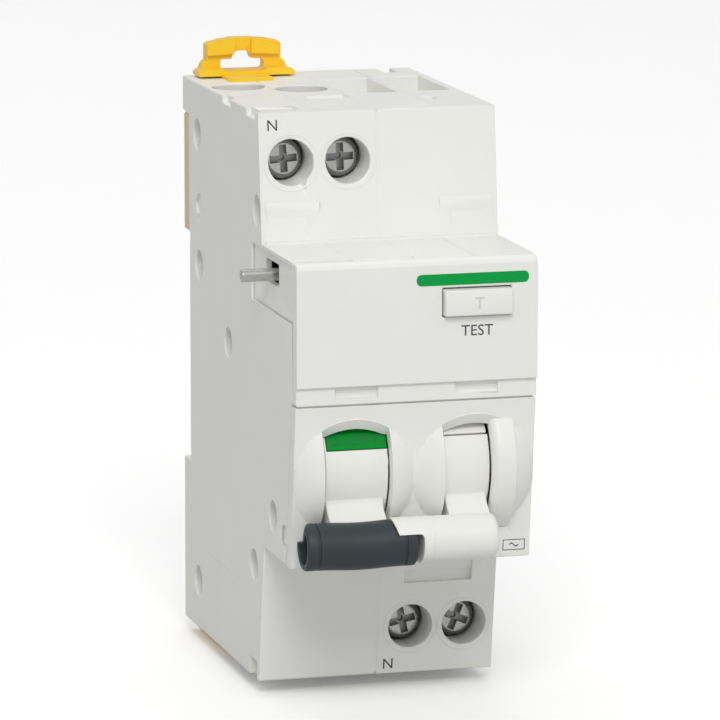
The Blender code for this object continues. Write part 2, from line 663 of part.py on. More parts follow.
def make_bottom_clip(finishes):
    """The lower rail clip: a plate down the back, and a foot under the bottom face."""
    face = BOTTOM_Z - GAP
    clip = box("bottom_rail_clip", (CLIP_LEFT, CLIP_RIGHT), CLIP_Y, (face - 1.6, -CLIP_NOSE_Z))
    front, inset, left, right = -14.85, 2.0, CLIP_LEFT - 0.6, CLIP_RIGHT
    outline = [
        (left, CLIP_Y[1]), (right, CLIP_Y[1]), (right, front + inset), (right - inset / 3, front + inset / 3),
        (right - inset, front), (left + inset, front), (left + inset / 3, front + inset / 3), (left, front + inset),
    ]
    foot = prism("foot", outline, "Z", face - 1.6, face)
    return dress(join(clip, [foot]), finishes["clip"])


# ---------------------------------------------------------------- levers
def lever_direction():
    """Unit vector from the lever axis to the handle, and the one square to it, upwards."""
    along = Vector((HANDLE_Y - AXIS_Y, HANDLE_Z - AXIS_Z)).normalized()
    return along, Vector((along[1], -along[0]))


def neck_slab(start, stop, half):
    """Outline of a flat bar from the lever axis towards the handle."""
    along, square = lever_direction()
    axis = Vector((AXIS_Y, AXIS_Z))
    corners = [axis + along * t + square * s for t, s in ((start, half), (stop, half), (stop, -half), (start, -half))]
    return [tuple(corner) for corner in corners]


def drum_solid(name, left, right):
    """A lever drum: a hub with a wide sector whose rim shows in the opening."""
    centre = (AXIS_Y, AXIS_Z)
    outline = arc(centre, DRUM_R, -86, 78, 24) + arc(centre, 4.2, 118, 228, 6)
    return prism(name, outline, "X", left, right)


def rim_insert(name, left, right, low, high, gap):
    """A piece of the drum's rim between two angles, or with a negative gap the pocket for it."""
    centre = (AXIS_Y, AXIS_Z)
    slack = math.degrees(gap / DRUM_R)
    depth = 1.2
    outer = DRUM_R if gap >= 0 else DRUM_R + 1
    outline = arc(centre, outer, low + slack, high - slack, 4)
    outline += arc(centre, DRUM_R - depth + gap, high - slack, low + slack, 4)
    return prism(name, outline, "X", left + gap, right - gap)


def make_breaker_lever(finishes):
    """The breaker's white drum with its neck, the dark grip on it and the green insert in its rim."""
    left, right = LEFT_MID - SLOT_HALF + 0.5, LEFT_MID + SLOT_HALF - 0.6
    reach = (Vector((HANDLE_Y, HANDLE_Z)) - Vector((AXIS_Y, AXIS_Z))).length
    lever = drum_solid("breaker_lever", left, right)
    neck = prism("neck", neck_slab(2.0, reach - HANDLE_R - 0.2, NECK_HALF), "X", left + 0.2, right - 0.2)
    tongue = prism("tongue", neck_slab(3.0, reach + 1.0, TONGUE_HALF), "X", left + 0.9, right - 0.9)
    join(lever, [neck, tongue])
    pin = crank_pin()
    link_x = LEFT_MID
    cut(lever, [
        rod("bore", "X", (AXIS_Y, AXIS_Z), AXLE_R + GAP, left - 1, right + 1, 16),
        box("slot", (link_x - 1.0, link_x + 1.1), (pin[0] - 1.6, AXIS_Y + 14), (AXIS_Z + 2.6, AXIS_Z + 14)),
        rod("hook", "X", pin, 1.1, link_x - 3.2, link_x, 12),
        rim_insert("pocket", left + 0.4, right + 1.0, 20.0, 38.5, -0.15),
    ])
    indicator = rim_insert("open_indicator", left + 0.4, right - 0.1, 20.0, 38.5, 0.0)
    grip = make_grip(left, right, reach)
    for obj, look in ((lever, "housing"), (indicator, "green"), (grip, "grip")):
        dress(obj, finishes[look])
    return [lever, grip, indicator]


def make_grip(left, right, reach):
    """The dark bar handle, hollow at its left end, with a stepped stub at its right end."""
    start, shoulder, end = -MODULE + 0.3, -3.0, -0.9
    centre = (HANDLE_Y, HANDLE_Z)
    grip = rod("breaker_grip", "X", centre, HANDLE_R, start, shoulder, 28)
    stub = rod("stub", "X", centre, HANDLE_R - 0.25, shoulder - 1, end, 28)
    above = box("above", (shoulder - 2, end + 1), (HANDLE_Y - 9, HANDLE_Y + 9), (HANDLE_Z + 0.75, HANDLE_Z + 9))
    join(grip, [cut(stub, [above])])
    return cut(grip, [
        rod("hollow", "X", centre, HANDLE_R - 0.9, start - 1, start + 3.2, 20),
        box("notch", (start - 1, start + 0.8), (HANDLE_Y - 0.8, HANDLE_Y + 9), (HANDLE_Z + 0.2, HANDLE_Z + 9)),
        prism("pocket", neck_slab(reach - HANDLE_R - 3, reach + 1.0 + GAP, TONGUE_HALF + GAP), "X",
              left + 0.9 - GAP, right - 0.9 + GAP),
    ])


def make_residual_lever(finishes):
    """The residual unit's lever: drum, neck, handle and the arm that lies on the breaker grip's stub."""
    left, right = RIGHT_MID - SLOT_HALF + 0.4, CHEEK_X - 0.3
    reach = (Vector((HANDLE_Y, HANDLE_Z)) - Vector((AXIS_Y, AXIS_Z))).length
    radius = HANDLE_R - 0.1
    centre = (HANDLE_Y, HANDLE_Z)
    lever = drum_solid("residual_lever", left, right)
    handle = rod("handle", "X", centre, radius, 0.3, right + 0.1, 28)
    hollow = rod("hollow", "X", centre, radius - 0.8, -1, 2.6, 20)
    cut(handle, [hollow])
    arm = rod("arm", "X", centre, radius, -2.7, 1.2, 28)
    below = box("below", (-4, 0.31), (HANDLE_Y - 9, HANDLE_Y + 9), (HANDLE_Z - 9, HANDLE_Z + 0.75 + GAP))
    inside = box("inside", (0.29, 3), (HANDLE_Y - 9, HANDLE_Y + 9), (HANDLE_Z - 9, HANDLE_Z + 0.9))
    neck = prism("neck", neck_slab(2.0, reach, NECK_HALF), "X", left + 0.2, right - 0.2)
    join(lever, [handle, neck, cut(arm, [below, inside])])
    cut(lever, [
        rod("bore", "X", (AXIS_Y, AXIS_Z), AXLE_R + GAP, left - 1, right + 1, 16),
        rim_insert("pocket", left - 1.0, right + 1.0, 32.0, 62.0, -0.15),
    ])
    flag = rim_insert("fault_flag", left, right, 32.0, 62.0, 0.15)
    return [dress(lever, finishes["housing"]), dress(flag, finishes["housing"])]


def make_axles(finishes):
    """The steel pins that the two levers and the contact carrier turn on."""
    ends = (MODULE - WALL + 0.1, SEAM / 2 + 1.15)
    pins = (
        ("breaker_axle", (AXIS_Y, AXIS_Z), -1), ("residual_axle", (AXIS_Y, AXIS_Z), 1),
        ("carrier_axle", (CARRIER_Y, CARRIER_Z), -1),
    )
    return [
        dress(rod(name, "X", centre, AXLE_R, min(side * e for e in ends), max(side * e for e in ends), 16),
              finishes["steel"])
        for name, centre, side in pins
    ]


def make_link(finishes):
    """The bent wire from the lever drum to the contact carrier."""
    pin, end = crank_pin(), rocker_pin()
    x, into = LEFT_MID, LEFT_MID - 2.7
    points = [(into, *pin), (x, *pin), (x, *end), (into, *end)]
    return dress(wire("lever_link", points, 0.7), finishes["steel"])


# ---------------------------------------------------------------- contacts and trips
def hull_bar(centre_a, radius_a, centre_b, radius_b, steps=6):
    """Outline of a flat bar with two round ends."""
    across = Vector(centre_b) - Vector(centre_a)
    heading = math.degrees(math.atan2(across[1], -across[0]))
    return arc(centre_a, radius_a, heading + 90, heading + 270, steps) + arc(
        centre_b, radius_b, heading - 90, heading + 90, steps
    )


def make_carrier(finishes):
    """The insulating carrier that both moving contact arms turn with."""
    centre = (CARRIER_Y, CARRIER_Z)
    carrier = rod("contact_carrier", "X", centre, HUB_R, -MODULE + 3.4, -3.4, 20)
    crank = prism("crank", hull_bar(centre, HUB_R - 0.1, rocker_pin(), 3.1), "X", LEFT_MID - 3.1, LEFT_MID - 1.2)
    join(carrier, [crank])
    cut(carrier, [
        rod("bore", "X", centre, AXLE_R + GAP, -MODULE, 0, 16),
        rod("hook", "X", rocker_pin(), 1.9, LEFT_MID - 5, LEFT_MID, 12),
    ])
    arms = []
    tip = (CARRIER_Y + ARM_TIP[0], CARRIER_Z + ARM_TIP[1])
    for name, left in (("phase_contact_arm", -MODULE + 4.2), ("neutral_contact_arm", -5.6)):
        arm = prism(name, hull_bar(centre, HUB_R + 1.7, tip, 1.1, 8), "X", left, left + 1.4)
        pad = rod("pad", "Z", (left + 0.7, tip[0]), 0.65, tip[1] - 1.7, tip[1], 10)
        join(arm, [pad])
        arms.append(cut(arm, [rod("eye", "X", centre, HUB_R + GAP, left - 1, left + 3, 20)]))
    return [dress(carrier, finishes["black"])] + [dress(arm, finishes["copper"]) for arm in arms]


def make_fixed_contacts(finishes):
    """The two fixed contacts, just under where the arms close."""
    tip_r = math.hypot(*ARM_TIP)
    closed = math.atan2(ARM_TIP[1], ARM_TIP[0]) - math.radians(rocker_turn())
    y = CARRIER_Y + tip_r * math.cos(closed)
    z = CARRIER_Z + tip_r * math.sin(closed) - 2.4
    outline = [(y - 2.6, z), (y + 2.0, z), (y + 2.0, z - 1.2), (y - 1.4, z - 1.2), (y - 1.4, z - 7), (y - 2.6, z - 7)]
    return [
        dress(prism(name, outline, "X", left, left + 1.8), finishes["copper"])
        for name, left in (("phase_fixed_contact", -MODULE + 4.0), ("neutral_fixed_contact", -5.8))
    ]


def make_arc_chute(finishes):
    """The stack of splitter plates between two cards."""
    left, right, front, back = -MODULE + 2.8, LEFT_MID + 0.2, -19.2, -5.0
    low, high, plates = -15.0, -1.4, 8
    chute = box("arc_chute", (left, left + 0.8), (front, back), (low, high))
    pieces = [box("card", (right - 0.8, right), (front, back), (low, high))]
    pitch = (high - low - 1.6) / (plates - 1)
    for i in range(plates):
        z = low + 0.4 + i * pitch
        pieces.append(box("plate", (left + 0.4, right - 0.4), (front + 0.8, back - 0.4), (z, z + 0.8)))
    return dress(join(chute, pieces), finishes["steel"])


def make_coil(finishes):
    """The magnetic trip: winding, bobbin, yoke and plunger."""
    x, z = LEFT_MID, COIL_Z
    front, back = COIL_Y
    bobbin = rod("coil_bobbin", "Y", (x, z), 3.5, front, back, 20)
    flanges = [
        rod("flange", "Y", (x, z), 5.5, front, front + 1, 20), rod("flange", "Y", (x, z), 5.5, back - 1, back, 20)
    ]
    join(bobbin, flanges)
    cut(bobbin, [rod("bore", "Y", (x, z), 1.5 + GAP, front - 1, back + 1, 16)])
    turns, steps, radius, lead = 7, 14, 4.55, 2.0
    span = back - front - 2 * lead - 1.2
    points = []
    for i in range(turns * steps + 1):
        turn = math.tau * i / steps + math.pi
        y = front + lead + 0.6 + span * i / (turns * steps)
        points.append((x + radius * math.cos(turn), y, z + radius * math.sin(turn)))
    points.insert(0, (-MODULE + WALL + 1.0, points[0][1], z - 2.0))
    points.insert(0, (-MODULE + WALL + 1.0, points[0][1], 8.5))
    coil = wire("trip_coil", points, 0.7)
    low, high, half = z - 7.0, z + 5.4, 4.8
    outline = [
        (front - 1.3, high), (front - 0.3, high), (front - 0.3, low + 1), (back + 0.3, low + 1),
        (back + 0.3, high), (back + 1.3, high), (back + 1.3, low), (front - 1.3, low),
    ]
    yoke = prism("coil_yoke", outline, "X", x - half, x + half)
    cut(yoke, [rod("hole", "Y", (x, z), 1.5 + GAP, front - 3, front + 1, 16)])
    plunger = rod("trip_plunger", "Y", (x, z), 1.5, LATCH_Y + 3.2, back - 1.4, 14)
    looks = ((coil, "copper"), (bobbin, "black"), (yoke, "steel"), (plunger, "steel"))
    return [dress(obj, finishes[look]) for obj, look in looks]


def make_latch(name, left, right, top, finishes):
    """A trip latch on its moulded post: a hub with an upright arm."""
    centre = (LATCH_Y, LATCH_Z)
    latch = rod(name, "X", centre, 2.0, left, right, 16)
    arm = box("arm", (left, right), (LATCH_Y - 0.6, LATCH_Y + 0.5), (LATCH_Z, top))
    join(latch, [arm])
    return dress(cut(latch, [rod("bore", "X", centre, 0.9 + GAP, left - 1, right + 1, 12)]), finishes["black"])


def make_bimetal(finishes):
    """The overload strip with its foot, and the flexible braid beside it."""
    x = -MODULE + 5.2
    outline = [
        (-31.2, -16.5), (-30.2, -16.5), (-30.2, BOTTOM_Z + 5), (-24.0, BOTTOM_Z + 3.2), (-24.0, BOTTOM_Z + 2.0),
        (-31.2, BOTTOM_Z + 2.0),
    ]
    strip = prism("bimetal_strip", outline, "X", x - 1.0, x + 1.0)
    bends = [(-32.2, -20.0), (-33.4, -23.4), (-35.2, -24.0), (-36.2, -21.5), (-36.0, -18.0), (-35.3, -15.6)]
    braid = wire("flexible_braid", [(x, y, z) for y, z in bends], 0.7)
    return [dress(strip, finishes["brass"]), dress(braid, finishes["copper"])]


def make_trip_link(finishes):
    """The cross pin that stands out of the left side, on its slider."""
    left = -MODULE + WALL + GAP
    slider = box("trip_link_pin", (left, left + 1.4), (TRIP_PIN_Y - 2.0, TRIP_PIN_Y + 2.2), (9.0, NOSE_Z - 2.1))
    pin = rod("pin", "X", (TRIP_PIN_Y, TRIP_PIN_Z), TRIP_PIN_R, -MODULE - 4.3, left + 0.7, 14)
    return dress(join(slider, [pin]), finishes["steel"])


# ---------------------------------------------------------------- terminals
def make_terminals(finishes):
    """Per clamp a screw, a rising cage and, for the two incoming poles, the plate it clamps to."""
    screws, cages, plates = [], [], []
    for number, x, z, wire_y, end in terminals():
        front, back = plate_y(wire_y)
        head_back = SCREW_HEAD_Y + SCREW_HEAD_T
        screw = rod(f"terminal_screw_{number}", "Y", (x, z), SCREW_R, head_back - 0.5, front - GAP, 14)
        join(screw, [rod("head", "Y", (x, z), SCREW_HEAD_R, SCREW_HEAD_Y, head_back, 24)])
        depth = (SCREW_HEAD_Y - 1, SCREW_HEAD_Y + 1.1)
        slots = [
            box("slot", (x - 2.3, x + 2.3), depth, (z - 0.4, z + 0.4)),
            box("slot", (x - 0.4, x + 0.4), depth, (z - 2.3, z + 2.3)),
        ]
        screws.append(dress(cut(screw, slots), finishes["steel"]))
        cage_front, cage_back = front - 3.6 - 2.4, wire_y + 3.5
        cage = box(f"terminal_cage_{number}", (x - CAGE_HALF_X, x + CAGE_HALF_X), (cage_front, cage_back),
                   (z - CAGE_HALF_Z, z + CAGE_HALF_Z))
        inner = CAGE_HALF_X - CAGE_WALL
        cut(cage, [
            box("room", (x - inner, x + inner), (cage_front + 2.4, cage_back - 1.0),
                (z - CAGE_HALF_Z - 1, z + CAGE_HALF_Z + 1)),
            rod("thread", "Y", (x, z), SCREW_R + GAP, cage_front - 1, cage_front + 3, 14),
        ])
        cages.append(dress(cage, finishes["brass"]))
        if end > 0:
            plate = box(f"terminal_plate_{number}", (x - PLATE_HALF_X, x + PLATE_HALF_X), (front, back),
                        (z - 7.0, z + CAGE_HALF_Z))
            plates.append(dress(plate, finishes["copper"]))
    return screws, cages, plates


# ---------------------------------------------------------------- residual current unit
def make_button(finishes):
    """The test button with a flange that keeps it behind the fascia, and its spring."""
    flange_front = FASCIA_Y + COVER + GAP
    proud = FASCIA_Y - BUTTON_PROUD
    low, high = BUTTON_Z
    face = arc((proud + 9.0, (low + high) / 2), 9.0, -11.5, 11.5, 6)
    outline = face + [(flange_front + 1, high), (flange_front + 1, low)]
    button = prism("test_button", outline, "X", *BUTTON_X)
    flange = box("flange", (BUTTON_X[0] - 0.9, BUTTON_X[1] + 0.9), (flange_front, flange_front + 1.2),
                 (low - 0.9, high + 0.9))
    join(button, [flange])
    x, z = RIGHT_MID - 2.2, (low + high) / 2
    start, stop = flange_front + 1.2 + GAP + 0.35, TEST_RIB_Y - BUTTON_TRAVEL - GAP - 0.35
    turns, steps = 4, 10
    points = []
    for i in range(turns * steps + 1):
        turn = math.tau * i / steps
        points.append((x + 1.6 * math.cos(turn), start + (stop - start) * i / (turns * steps), z + 1.6 * math.sin(turn)))
    return [dress(button, finishes["housing"]), dress(wire("test_spring", points, 0.3), finishes["steel"])]


def make_relay(finishes):
    """The trip relay and the pin that it throws at the residual latch."""
    x, z = RIGHT_MID - 0.5, 11.0
    relay = box("trip_relay", (RIGHT_MID - 5.6, RIGHT_MID + 4.6), (-40.5, -27.5), (3.0, 16.0))
    cut(relay, [rod("bore", "Y", (x, z), 0.9 + GAP, -42, -34, 12)])
    pin = rod("relay_pin", "Y", (x, z), 0.9, LATCH_Y + 2.1, -36.0, 12)
    return [dress(relay, finishes["black"]), dress(pin, finishes["steel"])]


def make_toroid(finishes):
    """The summation core with its sense winding."""
    inner, outer, half = 3.4, 5.5, 2.2
    centre = (RIGHT_MID, TOROID_Y)
    core = rod("toroid_core", "Z", centre, outer, TOROID_Z - half, TOROID_Z + half, 32)
    cut(core, [rod("bore", "Z", centre, inner, TOROID_Z - half - 1, TOROID_Z + half + 1, 32)])
    mid_r, wire_r, turns, steps = (inner + outer) / 2, 0.3, 18, 4
    reach_r, reach_z = (outer - inner) / 2 + GAP + wire_r, half + GAP + wire_r
    corners = ((1, -1), (1, 1), (-1, 1), (-1, -1))
    points = []
    for i in range(turns * steps):
        turn = math.radians(330) * i / (turns * steps)
        side_r, side_z = corners[i % steps]
        radius = mid_r + side_r * reach_r
        points.append((
            centre[0] + radius * math.cos(turn), centre[1] + radius * math.sin(turn), TOROID_Z + side_z * reach_z
        ))
    return [dress(core, finishes["black"]), dress(wire("toroid_winding", points, wire_r), finishes["copper"])]


def make_busbars(finishes):
    """The two bars from the breaker's contacts through the core to the outgoing clamps."""
    above = TOROID_Z + 7.0
    made = []
    for number, x, z, wire_y, end in terminals():
        if end > 0:
            continue
        front, back = plate_y(wire_y)
        top = z + 7.0
        if number == 3:
            name, cross_y, cross_z, thread_x = "phase_busbar", *PHASE_CROSS, RIGHT_MID - BUS_HALF
            start = [(-MODULE + 5.2, cross_y, BOTTOM_Z + 7.5), (-MODULE + 5.2, cross_y, cross_z)]
        else:
            name, cross_y, cross_z, thread_x = "neutral_busbar", *NEUTRAL_CROSS, RIGHT_MID + BUS_HALF
            start = [(-4.9, -21.6, cross_z), (-4.9, cross_y, cross_z)]
        path = start + [
            (SEAM_X + 1.5, cross_y, cross_z), (SEAM_X + 1.5, cross_y, above), (thread_x, cross_y, above),
            (thread_x, TOROID_Y, above), (thread_x, TOROID_Y, top), (x, TOROID_Y, top),
            (x, (front + back) / 2, top),
        ]
        if number == 3:
            path[4:5] = []
            path.insert(4, (SEAM_X + 1.5, TOROID_Y, above))
        bar = wire(name, path, BUS_R, 1)
        plate = box("plate", (x - PLATE_HALF_X, x + PLATE_HALF_X), (front, back), (z - CAGE_HALF_Z, top + 0.4))
        made.append(dress(join(bar, [plate]), finishes["copper"]))
    return made


def make_board(finishes):
    """The circuit board, with its capacitor and the test resistor soldered on."""
    right = INNER_X
    left = right - 1.6
    board = box("circuit_board", (left, right), (-36.0, -10.0), (TOP_Z - 24.0, TOP_Z - 12.0))
    parts = [
        rod("capacitor", "X", (-28.0, TOP_Z - 18.0), 2.6, left - 4.6, left + 0.5, 20),
        rod("resistor", "Y", (left - 0.9, TOP_Z - 20.0), 1.2, -22.0, -14.0, 12),
    ]
    return dress(join(board, parts), finishes["board"])


def main():
    """Clears the scene, makes every piece and hangs the moving ones on their joint axes."""
    for obj in list(bpy.data.objects):
        bpy.data.objects.remove(obj)
    finishes = make_finishes()
    make_shells(finishes)
    make_fascia(finishes)
    make_lever_panel(finishes)
    make_rivets(finishes)
    make_spacer(finishes)
    make_axles(finishes)
    make_fixed_contacts(finishes)
    make_arc_chute(finishes)
    make_bimetal(finishes)
    make_toroid(finishes)
    make_busbars(finishes)
    make_board(finishes)
    hang("top_clip_slide", (0, CLIP_Y[0], TOP_Z), [make_top_clip(finishes)])
    hang("bottom_clip_slide", (0, CLIP_Y[0], BOTTOM_Z), [make_bottom_clip(finishes)])
    hang("breaker_lever_axis", (LEFT_MID, AXIS_Y, AXIS_Z), make_breaker_lever(finishes))
    hang("residual_lever_axis", (RIGHT_MID, AXIS_Y, AXIS_Z), make_residual_lever(finishes))
    hang("link_axis", (LEFT_MID, *crank_pin()), [make_link(finishes)])
    hang("carrier_axis", (LEFT_MID, CARRIER_Y, CARRIER_Z), make_carrier(finishes))
    coil, bobbin, yoke, plunger = make_coil(finishes)
    hang("plunger_slide", (LEFT_MID, COIL_Y[0], COIL_Z), [plunger])
    latch_x = (LEFT_MID - 2.5, LEFT_MID + 2.5)
    hang("trip_latch_axis", (LEFT_MID, LATCH_Y, LATCH_Z), [make_latch("trip_latch", *latch_x, 20.0, finishes)])
    latch_x = (RIGHT_MID - 2.0, RIGHT_MID + 2.0)
    latch = make_latch("residual_latch", *latch_x, 13.0, finishes)
    hang("residual_latch_axis", (RIGHT_MID, LATCH_Y, LATCH_Z), [latch])
    hang("trip_link_slide", (-MODULE, TRIP_PIN_Y, TRIP_PIN_Z), [make_trip_link(finishes)])
    button, spring = make_button(finishes)
    hang("test_button_slide", (RIGHT_MID, FASCIA_Y, sum(BUTTON_Z) / 2), [button, spring])
    relay, relay_pin = make_relay(finishes)
    hang("relay_pin_slide", (RIGHT_MID, LATCH_Y, 11.0), [relay_pin])
    screws, cages, plates = make_terminals(finishes)
    for (number, x, z, wire_y, end), screw, cage in zip(terminals(), screws, cages):
        hang(f"screw_{number}_axis", (x, SCREW_HEAD_Y, z), [screw])
        hang(f"cage_{number}_slide", (x, wire_y, z), [cage])


main()
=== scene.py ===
"""Looks of a two-module residual current device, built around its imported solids."""

import json
import logging
import math
from dataclasses import dataclass, field
from enum import Enum
from typing import Any, Iterable, Sequence

import bmesh
import bpy
import numpy as np
from mathutils import Matrix, Vector


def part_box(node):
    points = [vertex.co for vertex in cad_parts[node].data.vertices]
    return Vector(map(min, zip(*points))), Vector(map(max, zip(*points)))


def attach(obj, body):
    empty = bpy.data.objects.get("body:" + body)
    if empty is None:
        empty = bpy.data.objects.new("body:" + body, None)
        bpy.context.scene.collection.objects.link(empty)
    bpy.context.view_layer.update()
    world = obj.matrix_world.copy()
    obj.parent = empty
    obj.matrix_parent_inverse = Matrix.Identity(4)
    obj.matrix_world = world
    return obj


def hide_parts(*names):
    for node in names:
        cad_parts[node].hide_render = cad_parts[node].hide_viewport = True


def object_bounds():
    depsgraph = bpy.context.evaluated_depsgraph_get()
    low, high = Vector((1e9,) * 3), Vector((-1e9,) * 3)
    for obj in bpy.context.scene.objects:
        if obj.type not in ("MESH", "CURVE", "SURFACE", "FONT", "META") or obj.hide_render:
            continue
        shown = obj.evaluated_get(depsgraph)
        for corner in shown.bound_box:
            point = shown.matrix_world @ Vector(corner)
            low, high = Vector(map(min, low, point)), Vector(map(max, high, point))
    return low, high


LOG = logging.getLogger("residual_current_device")
MM = 0.001
WELD = 1e-6
SOFTEN_TRIES = 7
FOLD_ANGLE = math.radians(172)
INDICATOR_ARC = (23.3, 47.0)  # degrees on the drum that the green insert covers
FLAG_ARC = (32.0, 62.0)
NOSE_Z = 22.5
PANEL_FACE = ((-62.6, 1.6), (-59.85, -22.5))  # (y, z) of the lever panel's top and foot
TOP_SHOULDER = ((-41.55, 41.5), (-43.6, 22.5))  # (y, z) of the outer and inner edge
LOW_SHOULDER = ((-41.3, -43.5), (-44.35, -22.5))
BODY_MIDS = (-9.0, 9.0)
Point2 = tuple[float, float]
Point3 = tuple[float, float, float]


class Axis(Enum):
    """The direction in which an outline is pushed."""

    X = 0
    Y = 1
    Z = 2


# ------------------------------------------------------------------ shader maths
class Signal:
    """A shader socket that takes part in Python arithmetic."""

    def __init__(self, graph: "Graph", socket: bpy.types.NodeSocket) -> None:
        """Keeps the socket and the graph that it belongs to."""
        self.graph = graph
        self.socket = socket

    def _math(self, operation: str, *values: Any) -> "Signal":
        """Adds one Math node and returns its result."""
        made = self.graph.node("ShaderNodeMath", {"operation": operation}, dict(enumerate(values)))
        return Signal(self.graph, made.outputs[0])

    def __add__(self, other: Any) -> "Signal":
        """The sum."""
        return self._math("ADD", self, other)

    def __radd__(self, other: Any) -> "Signal":
        """The sum, with the number first."""
        return self._math("ADD", other, self)

    def __sub__(self, other: Any) -> "Signal":
        """The difference."""
        return self._math("SUBTRACT", self, other)

    def __rsub__(self, other: Any) -> "Signal":
        """The difference, with the number first."""
        return self._math("SUBTRACT", other, self)

    def __mul__(self, other: Any) -> "Signal":
        """The product."""
        return self._math("MULTIPLY", self, other)

    def __rmul__(self, other: Any) -> "Signal":
        """The product, with the number first."""
        return self._math("MULTIPLY", other, self)

    def __truediv__(self, other: Any) -> "Signal":
        """The quotient."""
        return self._math("DIVIDE", self, other)

    def power(self, exponent: float) -> "Signal":
        """The signal raised to a power."""
        return self._math("POWER", self, exponent)

    def clamped(self, low: float, high: float) -> "Signal":
        """The signal kept between two numbers."""
        made = self.graph.node("ShaderNodeClamp", {}, {0: self, 1: low, 2: high})
        return Signal(self.graph, made.outputs[0])


class Graph:
    """One material's node tree, with its shader and output in place."""

    def __init__(self, name: str) -> None:
        """Makes the material and leaves only a Principled shader in it."""
        self.material = bpy.data.materials.new(name)
        self.material.use_nodes = True
        self.tree = self.material.node_tree
        self.tree.nodes.clear()
        self.shader = self.tree.nodes.new("ShaderNodeBsdfPrincipled")
        output = self.tree.nodes.new("ShaderNodeOutputMaterial")
        self.tree.links.new(self.shader.outputs["BSDF"], output.inputs["Surface"])
        self._place = self.node("ShaderNodeTexCoord").outputs["Object"]

    def node(
        self, kind: str, settings: dict[str, Any] | None = None, inputs: dict[Any, Any] | None = None
    ) -> bpy.types.Node:
        """Adds any node.

        Args:
            kind: The node's type name.
            settings: Its own settings, set before the sockets.
            inputs: Values or links by socket name or number.

        Returns:
            The new node.
        """
        made = self.tree.nodes.new(kind)
        for key, value in (settings or {}).items():
            setattr(made, key, value)
        for key, value in (inputs or {}).items():
            self.feed(made.inputs[key], value)
        return made

    def feed(self, socket: bpy.types.NodeSocket, value: Any) -> None:
        """Links a signal or a socket to a socket, or sets a plain value on it."""
        if isinstance(value, Signal):
            self.tree.links.new(value.socket, socket)
        elif isinstance(value, bpy.types.NodeSocket):
            self.tree.links.new(value, socket)
        else:
            socket.default_value = value

    def place(self, scale: Point3 = (1.0, 1.0, 1.0)) -> bpy.types.NodeSocket:
        """The object coordinates, stretched by a scale along each axis."""
        if scale == (1.0, 1.0, 1.0):
            return self._place
        return self.node("ShaderNodeMapping", {}, {"Vector": self._place, "Scale": scale}).outputs[0]

    def noise(self, size_mm: float, detail: float = 2.0, stretch: Point3 = (1.0, 1.0, 1.0)) -> Signal:
        """Soft random variation from 0 to 1 with features of about one size in millimetres."""
        made = self.node(
            "ShaderNodeTexNoise", {},
            {
                "Vector": self.place(stretch), "Scale": 1.0 / (size_mm * MM),
                "Detail": detail, "Roughness": 0.55,
            },
        )
        return Signal(self, made.outputs["Fac"])

    def mix(self, factor: Any, first: Any, second: Any) -> bpy.types.NodeSocket:
        """A colour between two colours."""
        made = self.node("ShaderNodeMix", {"data_type": "RGBA"})
        self.feed(made.inputs[0], factor)
        self.feed(made.inputs[6], first)
        self.feed(made.inputs[7], second)
        return made.outputs[2]

    def rounded(self, radius_mm: float) -> bpy.types.NodeSocket:
        """A normal that rounds sharp edges by a small radius."""
        return self.node("ShaderNodeBevel", {"samples": 4}, {"Radius": radius_mm * MM}).outputs[0]

    def bump(
        self, height: Signal, strength: float, depth_mm: float, normal: bpy.types.NodeSocket | None = None
    ) -> bpy.types.NodeSocket:
        """A normal with small relief from a height signal."""
        inputs: dict[Any, Any] = {"Strength": strength, "Distance": depth_mm * MM, "Height": height}
        if normal is not None:
            inputs["Normal"] = normal
        return self.node("ShaderNodeBump", {}, inputs).outputs[0]

    def dress(self, **values: Any) -> bpy.types.Material:
        """Feeds the shader's sockets, with underscores in place of spaces, and returns the material."""
        for key, value in values.items():
            self.feed(self.shader.inputs[key.replace("_", " ")], value)
        return self.material


def rgba(colour: Sequence[float], gain: float = 1.0) -> tuple[float, float, float, float]:
    """A colour with full alpha, made lighter or darker by a gain."""
    return (min(colour[0] * gain, 1.0), min(colour[1] * gain, 1.0), min(colour[2] * gain, 1.0), 1.0)


# ------------------------------------------------------------------ finishes
@dataclass(frozen=True)
class Moulding:
    """Injection-moulded plastic with a fine spark-eroded grain and faint flow clouds."""

    name: str
    colour: Point3
    roughness: float = 0.42
    grain_mm: float = 0.16
    relief_mm: float = 0.010
    clouds: float = 0.03
    coat: float = 0.0
    edge_mm: float = 0.12
    gloss: float = 0.5

    def material(self) -> bpy.types.Material:
        """Builds the material."""
        graph = Graph(self.name)
        cloud = graph.noise(9.0, 3.0)
        grain = graph.noise(self.grain_mm, 2.0)
        speck = graph.noise(0.55, 1.0)
        colour = graph.mix(cloud, rgba(self.colour, 1.0 - self.clouds), rgba(self.colour, 1.0 + self.clouds))
        rough = self.roughness + (grain - 0.5) * 0.10 + (cloud - 0.5) * 0.10
        height = grain + speck * 0.35
        normal = graph.bump(height, 0.35, self.relief_mm, graph.rounded(self.edge_mm))
        graph.shader.inputs["Coat Roughness"].default_value = 0.25
        graph.shader.inputs["IOR"].default_value = 1.5
        graph.shader.inputs["Specular IOR Level"].default_value = self.gloss
        return graph.dress(
            Base_Color=colour, Roughness=rough.clamped(0.05, 0.95), Coat_Weight=self.coat, Normal=normal
        )


